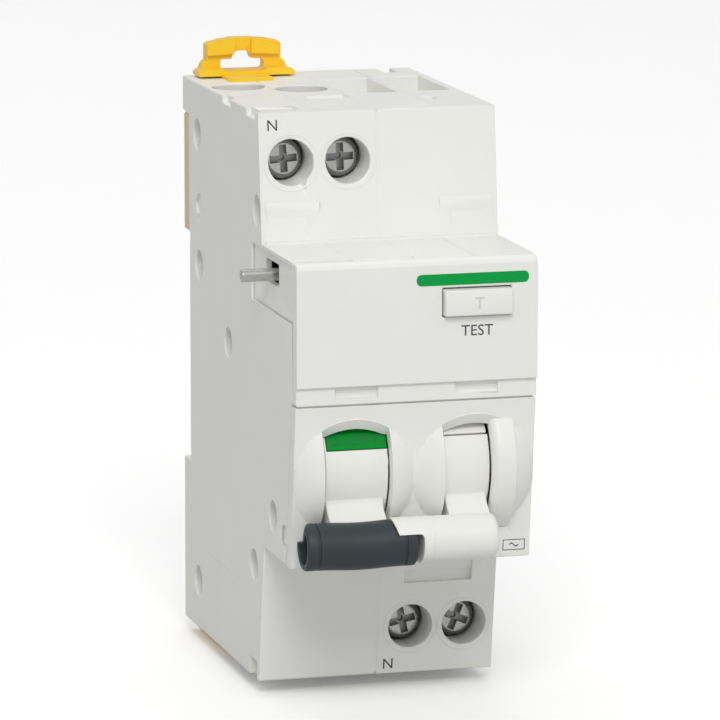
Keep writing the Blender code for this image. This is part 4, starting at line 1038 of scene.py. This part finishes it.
@dataclass
class Levers(Assembly):
    """The two lever drums, the dark grip, the white handle, the insert and the flag."""

    drum_radius: float = 9.3
    handle_y: float = -65.4
    handle_z: float = -17.9
    grip_radius: float = 3.43
    grip_z: float = -18.15
    neck_half: float = 1.5
    rims: Point2 = (-4.14, 11.08)
    stub_end: float = -1.2
    collar_x: float = -3.0
    arm_x: Point2 = (-4.7, -4.1)
    arm_z: float = -16.5
    white_start: float = -0.4

    def build(self) -> None:
        """Makes every piece."""
        self._breaker()
        self._grip()
        self._residual()
        self._inserts()

    def _direction(self, axis: Vector) -> tuple[Vector, Vector]:
        """Unit vectors from the lever axis to the handle and square to it, upwards."""
        along = Vector((self.handle_y - axis.y, self.handle_z - axis.z)).normalized()
        return along, Vector((along.y, -along.x))

    def _neck(self, name: str, axis: Vector, left: float, right: float) -> bpy.types.Object:
        """The flared bar from the drum to the handle."""
        along, square = self._direction(axis)
        hub = Vector((axis.y, axis.z))
        reach = (Vector((self.handle_y, self.handle_z)) - hub).length
        half = self.neck_half
        upper = [
            (3.0, half + 2.0), (8.6, half + 1.1), (9.6, half + 0.4), (10.8, half + 0.1), (reach, half + 0.35)
        ]
        lower = [(reach, half + 0.2), (10.8, half), (9.0, half + 0.6), (3.0, half + 1.0)]
        points = [tuple(hub + along * t + square * s) for t, s in upper]
        points += [tuple(hub + along * t - square * s) for t, s in lower]
        return prism(name, points, Axis.X, left, right)

    def _drum(
        self, name: str, axis: Vector, left: float, right: float, pocket: Point2, rim: float
    ) -> bpy.types.Object:
        """A smooth lever drum with a rim up to the opening's wall and the pocket for its insert."""
        centre = (axis.y, axis.z)
        outline = arc(centre, self.drum_radius, -86, 78, 82) + arc(centre, 4.2, 118, 228, 16)
        drum = prism(name, outline, Axis.X, left, right)
        skirt = arc(centre, self.drum_radius, -86, 78, 82) + arc(centre, 7.8, 78, -86, 40)
        join(drum, [prism("rim", skirt, Axis.X, right - 1.0, rim)])
        gap = math.degrees(0.12 / self.drum_radius)
        low, high = pocket[0] - gap, pocket[1] + gap
        recess = arc(centre, self.drum_radius + 1, low, high, 10)
        recess += arc(centre, self.drum_radius - 1.3, high, low, 10)
        return cut(drum, [
            prism("pocket", recess, Axis.X, left + 0.25 if left < 0 else left - 1, rim + 1),
            rod("bore", Axis.X, centre, 1.5, left - 1, right + 1, 32),
        ])

    def _breaker(self) -> None:
        """The breaker's drum with its neck."""
        axis = joint_mm("breaker_lever_swing")
        low, high = bounds_mm("breaker_lever")
        drum = self._drum("breaker_drum", axis, low.x, high.x, INDICATOR_ARC, self.rims[0])
        neck = self._neck("neck", axis, low.x + 0.2, high.x - 0.2)
        join(drum, [neck])
        soften(drum, 0.18, room=1.4)
        self.fit(drum, "lever_white", "breaker_toggle", "housing_white", ["breaker_lever"])

    def _grip(self) -> None:
        """The dark grip, grooved at each end, hollow at the left and cut away for the arm at the right."""
        low = bounds_mm("breaker_grip")[0]
        centre = (self.handle_y, self.grip_z)
        left, end = low.x, self.stub_end
        big, dip = self.grip_radius, 0.17
        first, last = left + 1.75, self.collar_x
        profile = [(left, 0.0), (left, big - 0.25), (left + 0.25, big)]
        for groove in (first, last):
            cross = ((-0.2, 0.0), (-0.13, dip), (0.13, dip), (0.2, 0.0))
            profile += [(groove + a, big - b) for a, b in cross]
            if groove == first:
                steps = 14
                profile += [(groove + 0.2 + (last - first - 0.4) * k / steps, big) for k in range(1, steps)]
        profile += [(end - 0.25, big), (end, big - 0.25), (end, 0.0)]
        grip = lathe("dark_grip", profile, centre, 72)
        for vertex in grip.data.vertices:
            share = (vertex.co.x / MM - first - 0.2) / (last - first - 0.4)
            if 0.0 < share < 1.0:
                vertex.co.z -= 0.22 * MM * math.sin(math.pi * share) ** 2
        arm_z = self.arm_z + 0.1
        slant = [
            (self.arm_x[1] - 0.18, arm_z - 0.18), (end + 2, arm_z - 0.18), (end + 2, centre[1] + 9),
            (self.arm_x[0] - 1.5, centre[1] + 9), (self.arm_x[0] - 0.18, centre[1] + self.grip_radius),
        ]
        cut(grip, [
            rod("hollow", Axis.X, centre, self.grip_radius - 0.9, left - 1, left + 3.4, 48),
            prism("notch", rounded_outline([
                (centre[0] - 0.9, centre[1] + 0.2, 0.5), (centre[0] + 9, centre[1] + 0.2, 0.0),
                (centre[0] + 9, centre[1] + 9, 0.0), (centre[0] - 0.9, centre[1] + 9, 0.0),
            ]), Axis.X, left - 1, left + 0.9),
            prism("seat", slant, Axis.Y, centre[0] - 9, centre[0] + 9),
        ])
        soften(grip, 0.12, room=1.6)
        self.fit(grip, "grip_slate", "breaker_toggle", "grip_slate", ["breaker_grip"])

    def _residual(self) -> None:
        """The residual unit's drum, neck, handle and the arm over the grip's stub."""
        axis = joint_mm("residual_lever_swing")
        high = bounds_mm("residual_lever")[1]
        centre = (self.handle_y, self.handle_z)
        left, right = bounds_mm("fault_flag")[0].x - 0.15, high.x - 0.1
        radius = self.grip_radius - 0.1
        start, stop = self.white_start, high.x
        profile = [
            (start, 0.0), (start, radius - 0.35), (start + 0.35, radius), (stop - 1.0, radius),
            (stop - 0.45, radius - 0.12), (stop - 0.12, radius - 0.45), (stop, radius - 1.0), (stop, 0.0),
        ]
        handle = lathe("handle", profile, centre, 72)
        cut(handle, [rod("hollow", Axis.X, centre, radius - 0.8, start - 1, start + 2.3, 48)])
        arm = rod("arm", Axis.X, centre, radius + 0.06, self.arm_x[0] - 1, start + 1.6, 72)
        reach_down = centre[1] - 9
        beside = [
            (self.arm_x[0], centre[1] + 4), (self.arm_x[0], centre[1] + self.grip_radius),
            (self.arm_x[1], self.arm_z),
            (self.arm_x[1], reach_down), (self.arm_x[0] - 3, reach_down), (self.arm_x[0] - 3, centre[1] + 4),
        ]
        under = rounded_outline([
            (self.arm_x[1] - 3, reach_down, 0.0), (start - 0.01, reach_down, 0.0),
            (start - 0.01, self.arm_z, 0.7),
            (self.arm_x[1] - 3, self.arm_z, 0.0),
        ])
        cut(arm, [
            prism("beside", beside, Axis.Y, centre[0] - 9, centre[0] + 9),
            prism("under", under, Axis.Y, centre[0] - 9, centre[0] + 9),
        ])
        drum = self._drum("residual_drum", axis, left, right, FLAG_ARC, self.rims[1])
        join(drum, [handle, self._neck("neck", axis, left + 0.2, right - 0.2), arm])
        soften(drum, 0.14, room=1.4)
        self.fit(drum, "lever_white", "residual_toggle", "housing_white", ["residual_lever"])

    def _insert(
        self, name: str, axis: Vector, left: float, right: float, low: float, high: float
    ) -> bpy.types.Object:
        """A curved piece of the drum's rim."""
        centre = (axis.y, axis.z)
        outline = arc(centre, self.drum_radius, low, high, 14)
        outline += arc(centre, self.drum_radius - 1.15, high, low, 14)
        return prism(name, outline, Axis.X, left, right)

    def _inserts(self) -> None:
        """The green insert with its embossed state letters, and the white flag."""
        axis = joint_mm("breaker_lever_swing")
        low, high = bounds_mm("open_indicator")
        green = self._insert("off_insert", axis, low.x, self.rims[0], *INDICATOR_ARC)
        soften(green, 0.1, room=1.2)
        self.fit(green, "indicator_green", "breaker_toggle", "indicator_green", ["open_indicator"])
        # painted shade: the letters take a darker green than the insert, for the shade in engraved letters
        word = lettering("off_letters", "O.OFF", 1.4, 0.06, (0.0, 0.0, 0.0), 1.3)
        turn = math.radians(31.2)
        spot = polar((axis.y, axis.z), self.drum_radius - 0.01, 31.2)
        mid = (low.x + high.x) / 2 - 0.2
        word.data.transform(
            Matrix.Translation(Vector((mid, *spot)) * MM) @ Matrix.Rotation(-turn, 4, "X")
            @ Matrix.Diagonal((1.12, 1.0, 1.0, 1.0))
        )
        self.fit(word, "letter_green_painted_shade", "breaker_toggle", "indicator_green")
        axis = joint_mm("residual_lever_swing")
        low, high = bounds_mm("fault_flag")
        flag = self._insert("tripped_flag", axis, low.x, self.rims[1] - 0.1, FLAG_ARC[0] + 0.9, FLAG_ARC[1])
        soften(flag, 0.1, room=1.2)
        self.fit(flag, "lever_white", "residual_toggle", "housing_white", ["fault_flag"])


@dataclass
class RailClips(Assembly):
    """The two yellow clips."""

    def build(self) -> None:
        """Makes both clips."""
        self._top()
        foot = copy_of("bottom_rail_clip", "lower_rail_clip")
        soften(foot, 0.25)
        self.fit(foot, "clip_yellow", "bottom_clip", "clip_yellow", ["bottom_rail_clip"])

    def _top(self) -> None:
        """The upper clip, with its finger loop."""
        low, high = bounds_mm("top_rail_clip")
        roof = bounds_mm("breaker_left_shell")[1].z
        mid = -9.4
        back, foot = high.y, roof + 0.3
        top = high.z
        turn = [math.radians(t) for t in range(10, 91, 16)]
        side = [(0.8 + 0.85 * (1 - math.cos(t)), foot + 0.75 + 1.45 * math.sin(t)) for t in turn]
        left, right = low.x + side[-1][0], high.x - side[-1][0]
        outline = [(low.x, foot), (high.x, foot), (high.x, foot + 0.5), (high.x - 0.3, foot + 0.75)]
        outline += [(high.x - a, b) for a, b in side]
        crest = [(0.0, 1.0), (0.5, 0.62), (1.9, 0.42), (2.0, 0.28)]
        outline += [(right - a, top - b) for a, b in crest]
        outline += [(mid + 2.0, top - 0.1), (mid + 1.9, top), (mid - 1.9, top), (mid - 2.0, top - 0.1)]
        outline += [(left + a, top - b) for a, b in reversed(crest)]
        outline += [(low.x + a, b) for a, b in reversed(side)]
        outline += [(low.x + 0.3, foot + 0.75), (low.x, foot + 0.5)]
        clip = prism("upper_rail_clip", outline, Axis.Y, 1.1, back)
        bar = rounded_outline([
            (left, top - 2.6, 0.3), (mid - 1.3, top - 2.4, 0.0),
            (mid - 1.3, top - 0.05, 0.3), (left, top - 0.95, 0.5),
        ])
        mirrored = [(2 * mid - a, b) for a, b in bar]
        flange = rounded_outline([
            (low.x, foot, 0.2), (high.x, foot, 0.2), (high.x, foot + 0.7, 0.45),
            (high.x - 1.0, foot + 1.1, 0.4),
            (low.x + 1.0, foot + 1.1, 0.4), (low.x, foot + 0.7, 0.45),
        ])
        parts = [
            prism("bar", bar, Axis.Y, 0.3, 2.0), prism("bar", mirrored, Axis.Y, 0.3, 2.0),
            prism("flange", flange, Axis.Y, -1.2, 2.0),
            box("tongue", (mid - 3.7, mid + 3.1), (low.y + 0.8, 1.5), (roof - 0.9, foot + 0.3)),
            box("plate", (left, right), (1.3, back), (low.z, foot + 1.0)),
        ]
        join(clip, parts)
        window = rounded_outline([
            (mid - 3.4, foot + 0.75, 0.3), (mid + 3.4, foot + 0.75, 0.6), (mid + 3.4, foot + 2.35, 0.6),
            (mid + 1.5, foot + 2.35, 0.3), (mid + 1.2, foot + 3.6, 1.0), (mid - 1.2, foot + 3.6, 1.0),
            (mid - 1.7, foot + 2.35, 0.3), (mid - 3.4, foot + 2.35, 0.3),
        ])
        cut(clip, [prism("window", window, Axis.Y, -3.0, back + 1)])
        soften(clip, 0.14, room=1.3)
        self.fit(clip, "clip_yellow", "top_clip", "clip_yellow", ["top_rail_clip"])


@dataclass
class Clamps(Assembly):
    """The four terminal screws and their cages."""

    head_radius: float = 3.0
    head_height: float = 2.2
    recess_width: float = 1.1
    disc_radius: float = 2.2
    pitch: float = 0.8
    turns: tuple[float, ...] = (4.0, 2.0, 12.0, -22.0)

    def build(self) -> None:
        """Makes every screw from one tree of nodes, and softens the cages."""
        self._collars()
        tree = self._screw_tree()
        for number, turn in enumerate(self.turns, 1):
            node = f"terminal_screw_{number}"
            low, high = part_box(node)
            place = ((low.x + high.x) / 2, low.y, (low.z + high.z) / 2)
            screw = tree.grow(f"clamp_screw_{number}", [place], {
                "Head Radius": self.head_radius * MM, "Head Height": self.head_height * MM,
                "Length": float(high.y - low.y), "Shank Radius": 1.6 * MM, "Turn": math.radians(turn),
            })
            soften(screw, 0.06, room=1.2)
            # painted shade on the head's chamfer and driver recess
            self._paint_rim_shade(screw, place)
            self.fit(screw, "screw_steel", f"screw_{number}", "plated_steel", [node], keep_materials=True)
            cage = copy_of(f"terminal_cage_{number}", f"clamp_cage_{number}")
            soften(cage, 0.15)
            self.fit(cage, "brass", f"cage_{number}", "brass", [f"terminal_cage_{number}"])

    def _collars(self) -> None:
        """The faint raised rings on the shoulders round the four driver holes."""
        rings = []
        for number in range(1, 5):
            low, high = bounds_mm(f"terminal_screw_{number}")
            x, z = (low.x + high.x) / 2, (low.z + high.z) / 2
            face, lean = shoulder_at(z)
            ring = lathe("collar", [
                (-0.3, 3.95), (0.02, 3.95), (0.05, 4.0), (0.05, 4.22), (0.02, 4.27), (-0.3, 4.27),
            ], (0.0, 0.0), 72)
            ring.data.transform(
                Matrix.Translation(Vector((x, face, z)) * MM) @ Matrix.Rotation(-lean, 4, "X")
                @ Matrix.Rotation(-math.pi / 2, 4, "Z")
            )
            rings.append(ring)
        collars = merged("hole_collars", rings)
        smooth(collars)
        self.fit(collars, "housing_white", "device", "housing_white")

    def _paint_rim_shade(self, screw: bpy.types.Object, place: Point3) -> None:
        """Paints the head's chamfer and driver recess in darker copies of the same plating, as painted shade."""
        screw.data.materials.clear()
        for finish in ("screw_steel", "screw_rim", "screw_recess"):
            screw.data.materials.append(self.finishes.get(finish))
        # painted shade: faces outside the disc take the darker rim copy, and faces sunk behind its face take the
        # darker recess copy
        for face in screw.data.polygons:
            away = math.hypot(face.center.x - place[0], face.center.z - place[2])
            in_shaded_recess = face.center.y > place[1] + 0.1 * MM
            face.material_index = 1 if away > self.disc_radius * MM else 2 if in_shaded_recess else 0

    def _screw_tree(self) -> MeshTree:
        """A clamp screw along Z with its head's face at the origin, turned to look out of the front."""
        tree = MeshTree("clamp_screw", {
            "Head Radius": ("NodeSocketFloat", 0.003),
            "Head Height": ("NodeSocketFloat", 0.0022),
            "Length": ("NodeSocketFloat", 0.02),
            "Shank Radius": ("NodeSocketFloat", 0.0016),
            "Turn": ("NodeSocketFloat", 0.0),
        })
        height, length = tree.value("Head Height"), tree.value("Length")
        rim = tree.value("Head Radius")
        chamfer = 0.0008
        body_height = tree.sum(height, chamfer, "SUBTRACT")
        body_middle = tree.sum(tree.sum(body_height, -0.5, "MULTIPLY"), chamfer, "SUBTRACT")
        body = tree.drum(rim, body_height, body_middle, 56)
        cone = tree.node("GeometryNodeMeshCone", {}, {
            "Vertices": 56, "Radius Top": tree.sum(rim, 0.00075, "SUBTRACT"), "Radius Bottom": rim,
            "Depth": chamfer,
        }).outputs["Mesh"]
        cone = tree.moved(cone, Translation=(0.0, 0.0, -chamfer))
        shank_length = tree.sum(length, 0.0005, "SUBTRACT")
        shank_middle = tree.sum(tree.sum(shank_length, -0.5, "MULTIPLY"), 0.0005, "SUBTRACT")
        shank = tree.drum(tree.value("Shank Radius"), shank_length, shank_middle, 28)
        solid = tree.boolean("UNION", Mesh_2=[body, cone, shank])
        slots = []
        for size in ((0.0041, self.recess_width * MM, 0.0026), (self.recess_width * MM, 0.0041, 0.0026)):
            slots.append(tree.node("GeometryNodeMeshCube", {}, {"Size": size}).outputs["Mesh"])
        core = tree.node("GeometryNodeMeshCone", {}, {
            "Vertices": 16, "Radius Top": 0.00078, "Radius Bottom": 0.0004, "Depth": 0.0018,
        }).outputs["Mesh"]
        slots.append(tree.moved(core, Translation=(0.0, 0.0, -0.0017)))
        solid = tree.boolean("DIFFERENCE", Mesh_1=solid, Mesh_2=slots)
        ring = tree.node("GeometryNodeMeshCone", {}, {
            "Vertices": 24, "Radius Top": tree.sum(tree.value("Shank Radius"), 0.00002),
            "Radius Bottom": tree.sum(tree.value("Shank Radius"), 0.00018), "Depth": 0.0003,
        }).outputs["Mesh"]
        count = tree.sum(tree.sum(length, 0.004, "SUBTRACT"), self.pitch * MM, "DIVIDE")
        line = tree.node("GeometryNodeMeshLine", {"mode": "OFFSET", "count_mode": "TOTAL"}, {
            "Count": count, "Offset": (0.0, 0.0, -self.pitch * MM),
        }).outputs[0]
        start = tree.moved(line, Translation=(0.0, 0.0, -0.0034))
        thread = tree.scattered(start, ring)
        whole = tree.node("GeometryNodeJoinGeometry", {}, {"Geometry": [solid, thread]}).outputs[0]
        spin = tree.node("ShaderNodeCombineXYZ", {}, {"Z": tree.value("Turn")}).outputs[0]
        turned = tree.moved(whole, Rotation=spin)
        facing = tree.moved(turned, Rotation=(math.pi / 2, 0.0, 0.0))
        placed = tree.scattered(tree.value("Geometry"), facing)
        tree.close(placed, self.finishes.get("screw_steel"))
        return tree


@dataclass
class FrontMarks(Assembly):
    """The test button and everything printed on the front."""

    film_mm: float = 0.03
    ease_mm: float = 0.34

    def build(self) -> None:
        """Makes the button and the prints."""
        button = copy_of("test_button", "push_button")
        low, high = bounds_mm("test_button")
        middle, size = (low + high) / 2 * MM, high - low
        widen = Matrix.Diagonal((1 + self.ease_mm / size.x, 1.0, 1 + self.ease_mm / size.z, 1.0))
        button.data.transform(Matrix.Translation(middle) @ widen @ Matrix.Translation(-middle))
        soften(button, 0.18, room=1.4)
        self.fit(button, "lever_white", "button", "housing_white", ["test_button"])
        front = bounds_mm("label_fascia")[0].y
        mid = (low.x + high.x) / 2
        self._bar("green_band", (-0.2, 16.65), (18.67, 20.35), front, "print_green")
        # painted shade: the T is grey for the shade in an engraved letter
        mark = lettering("button_mark", "T", 1.75, 0.12, (mid, low.y, (low.z + high.z) / 2 - 0.1))
        self.fit(mark, "mark_grey_painted_shade", "button", "housing_white")
        caption = lettering("test_caption", "TEST", 1.6, self.film_mm, (mid, front - self.film_mm / 2, 11.9))
        self.fit(caption, "print_slate", "device", "housing_white")
        self._neutral_marks()
        self._wave_mark()

    def _bar(self, name: str, x: Point2, z: Point2, front: float, finish: str) -> None:
        """A printed bar with round ends."""
        radius = (z[1] - z[0]) / 2 * 0.98
        outline = rounded_outline([
            (x[0], z[0], radius), (x[1], z[0], radius), (x[1], z[1], radius), (x[0], z[1], radius)
        ], 8)
        bar = prism(name, outline, Axis.Y, front - self.film_mm, front + 0.02)
        self.fit(bar, finish, "device", "indicator_green")

    def _neutral_marks(self) -> None:
        """The neutral pole letters beside the upper and lower clamps."""
        for name, x, z in (("neutral_mark_top", -15.9, 39.6), ("neutral_mark_bottom", 1.85, -42.0)):
            y, lean = shoulder_at(z)
            mark = lettering(name, "N", 1.65, self.film_mm, (0.0, 0.0, 0.0))
            mark.data.transform(
                Matrix.Translation(Vector((x, y - self.film_mm / 2, z)) * MM) @ Matrix.Rotation(-lean, 4, "X")
            )
            self.fit(mark, "print_slate", "device", "housing_white")

    def _wave_mark(self) -> None:
        """The boxed alternating current sign at the panel's lower right corner."""
        (top_y, top_z), (foot_y, foot_z) = PANEL_FACE
        slope = math.atan((top_y - foot_y) / (top_z - foot_z))
        x, z = (13.95, 17.3), (-21.5, -19.85)
        corners = [(x[0], z[0]), (x[1], z[0]), (x[1], z[1]), (x[0], z[1])]
        frame = prism("wave_frame", corners, Axis.Y, -0.015, 0.015)
        line = 0.11
        inner = box("inner", (x[0] + line, x[1] - line), (-1.0, 1.0), (z[0] + line, z[1] - line))
        cut(frame, [inner])
        wave = []
        count = 16
        centre = ((x[0] + x[1]) / 2, (z[0] + z[1]) / 2)
        for k in range(count + 1):
            t = k / count
            wave.append((centre[0] - 0.7 + 1.4 * t, centre[1] + 0.24 * math.sin(math.tau * t)))
        outline = [(a, b + 0.1) for a, b in wave] + [(a, b - 0.1) for a, b in reversed(wave)]
        sign = prism("wave_sign", outline, Axis.Y, -0.015, 0.015)
        middle = centre[1]
        y = top_y + (top_z - middle) / (top_z - foot_z) * (foot_y - top_y)
        for piece in (frame, sign):
            piece.data.transform(
                Matrix.Translation(Vector((0.0, y - 0.01, middle)) * MM) @ Matrix.Rotation(-slope, 4, "X")
                @ Matrix.Translation(Vector((0.0, 0.0, -middle)) * MM)
            )
            self.fit(piece, "print_slate", "device", "housing_white")


@dataclass
class LinkPin(Assembly):
    """The pin that stands out of the left side."""

    def build(self) -> None:
        """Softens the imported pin."""
        pin = copy_of("trip_link_pin", "cross_pin")
        soften(pin, 0.15, room=1.3)
        self.fit(pin, "plated_steel", "link_pin", "plated_steel", ["trip_link_pin"])


@dataclass
class Works(Assembly):
    """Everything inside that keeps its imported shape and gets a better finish."""

    def build(self) -> None:
        """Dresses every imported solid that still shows."""
        slots = {entry["node"]: entry["material_slot"] for entry in FRAME["record"]["subparts"]}
        for name, node in sorted(FRAME["nodes"].items()):
            if node.hide_render:
                continue
            material = self.finishes.get(slots[name])
            if not node.material_slots:
                node.data.materials.append(material)
            for place in node.material_slots:
                place.material = material
            LOG.info("%s: keeps its packed shape, finish %s", name, slots[name])


# ------------------------------------------------------------------ studio
@dataclass
class Studio:
    """Floor, lights and camera."""

    floor_gap: float = 0.0002
    azimuth: float = -15.657
    elevation: float = 10.249
    roll: float = 0.071
    distance: float = 0.8403
    aside: float = 0.00856
    drop: float = -0.00286
    depth_shift: float = -0.00085
    lens: float = 271.33

    def build(self) -> None:
        """Puts up the studio."""
        self._floor()
        self._lights()
        self._camera()
        scene = bpy.context.scene
        scene.view_settings.view_transform = "Standard"
        scene.view_settings.look = "None"

    def _floor(self) -> None:
        """A pale floor that curves up into a backdrop."""
        low = CAD_BOX[0][2] - self.floor_gap
        profile = [(-3.0, low), (0.9, low)]
        radius = 0.5
        for k in range(1, 13):
            t = math.radians(90 * k / 12)
            profile.append((0.9 + radius * math.sin(t), low + radius * (1 - math.cos(t))))
        profile.append((1.4, low + 3.0))
        mesh = bpy.data.meshes.new("studio_floor")
        verts = [(x, y, z) for x in (-3.0, 3.0) for y, z in profile]
        count = len(profile)
        faces = [(i, i + 1, count + i + 1, count + i) for i in range(count - 1)]
        mesh.from_pydata(verts, [], faces)
        floor = new_object("studio_floor", mesh)
        floor.data.shade_smooth()
        graph = Graph("studio_paper")
        paper = graph.noise(3.0, 3.0)
        colour = graph.mix(paper, (0.96, 0.96, 0.96, 1.0), (0.97, 0.97, 0.97, 1.0))
        seen = Signal(graph, graph.node("ShaderNodeLightPath").outputs["Is Camera Ray"])
        bounce = graph.mix(seen, (0.62, 0.62, 0.62, 1.0), colour)
        graph.shader.inputs["Emission Color"].default_value = (1.0, 1.0, 1.0, 1.0)
        floor.data.materials.append(
            graph.dress(Base_Color=bounce, Roughness=0.9, Emission_Strength=seen * 0.16)
        )

    def _lamp(
        self, name: str, place: Point3, target: Point3, size: float, power: float, tint: Point3
    ) -> None:
        """One soft square lamp that looks at a point."""
        lamp = bpy.data.lights.new(name, "AREA")
        lamp.shape = "SQUARE"
        lamp.size = size
        lamp.energy = power
        lamp.color = tint
        obj = bpy.data.objects.new(name, lamp)
        obj.location = place
        obj.rotation_euler = (Vector(target) - Vector(place)).to_track_quat("-Z", "Y").to_euler()
        bpy.context.scene.collection.objects.link(obj)

    def _lights(self) -> None:
        """A broad key from the front and above, weaker fills, and a pale surround."""
        world = bpy.data.worlds.new("studio_air")
        world.use_nodes = True
        shade = world.node_tree.nodes["Background"]
        shade.inputs["Color"].default_value = (1.0, 1.0, 1.0, 1.0)
        shade.inputs["Strength"].default_value = 0.57
        bpy.context.scene.world = world
        self._lamp("key", (-0.28, -1.15, 1.0), (0.0, -0.02, 0.0), 0.6, 9.0, (1.0, 0.995, 0.985))
        self._lamp("fill", (0.9, -0.5, 0.5), (0.0, -0.02, 0.0), 0.9, 0.6, (0.985, 0.99, 1.0))
        self._lamp("top", (0.0, 0.9, 1.5), (0.0, 0.8, 0.0), 1.2, 6.0, (1.0, 1.0, 1.0))

    def _camera(self) -> None:
        """A long lens from the left front, slightly above."""
        az, el, turn = (math.radians(v) for v in (self.azimuth, self.elevation, self.roll))
        back = Vector((math.sin(az) * math.cos(el), -math.cos(az) * math.cos(el), math.sin(el)))
        right = Vector((math.cos(az), math.sin(az), 0.0))
        up = back.cross(right)
        across = right * math.cos(turn) + up * math.sin(turn)
        above = up * math.cos(turn) - right * math.sin(turn)
        place = back * self.distance + across * self.aside + above * self.drop
        place.y += self.depth_shift
        camera = bpy.data.cameras.new("camera")
        camera.lens = self.lens
        camera.sensor_width = 36.0
        camera.clip_start = 0.05
        camera.clip_end = 20.0
        obj = bpy.data.objects.new("camera", camera)
        turned = Matrix((across, above, back)).transposed().to_4x4()
        obj.matrix_world = Matrix.Translation(place) @ turned
        bpy.context.scene.collection.objects.link(obj)
        bpy.context.scene.camera = obj


def main() -> None:
    """Builds every sub-assembly, then the studio."""
    logging.basicConfig(level=logging.INFO, format="%(name)s: %(message)s")
    finishes = Finishes()
    for kind in (Housing, LeverPanel, Levers, RailClips, Clamps, FrontMarks, LinkPin, Works):
        part = kind(finishes)
        part.build()
        LOG.info("%s: %d new pieces", kind.__name__, len(part.pieces))
    Studio().build()


if __name__ == "__main__":
    main()
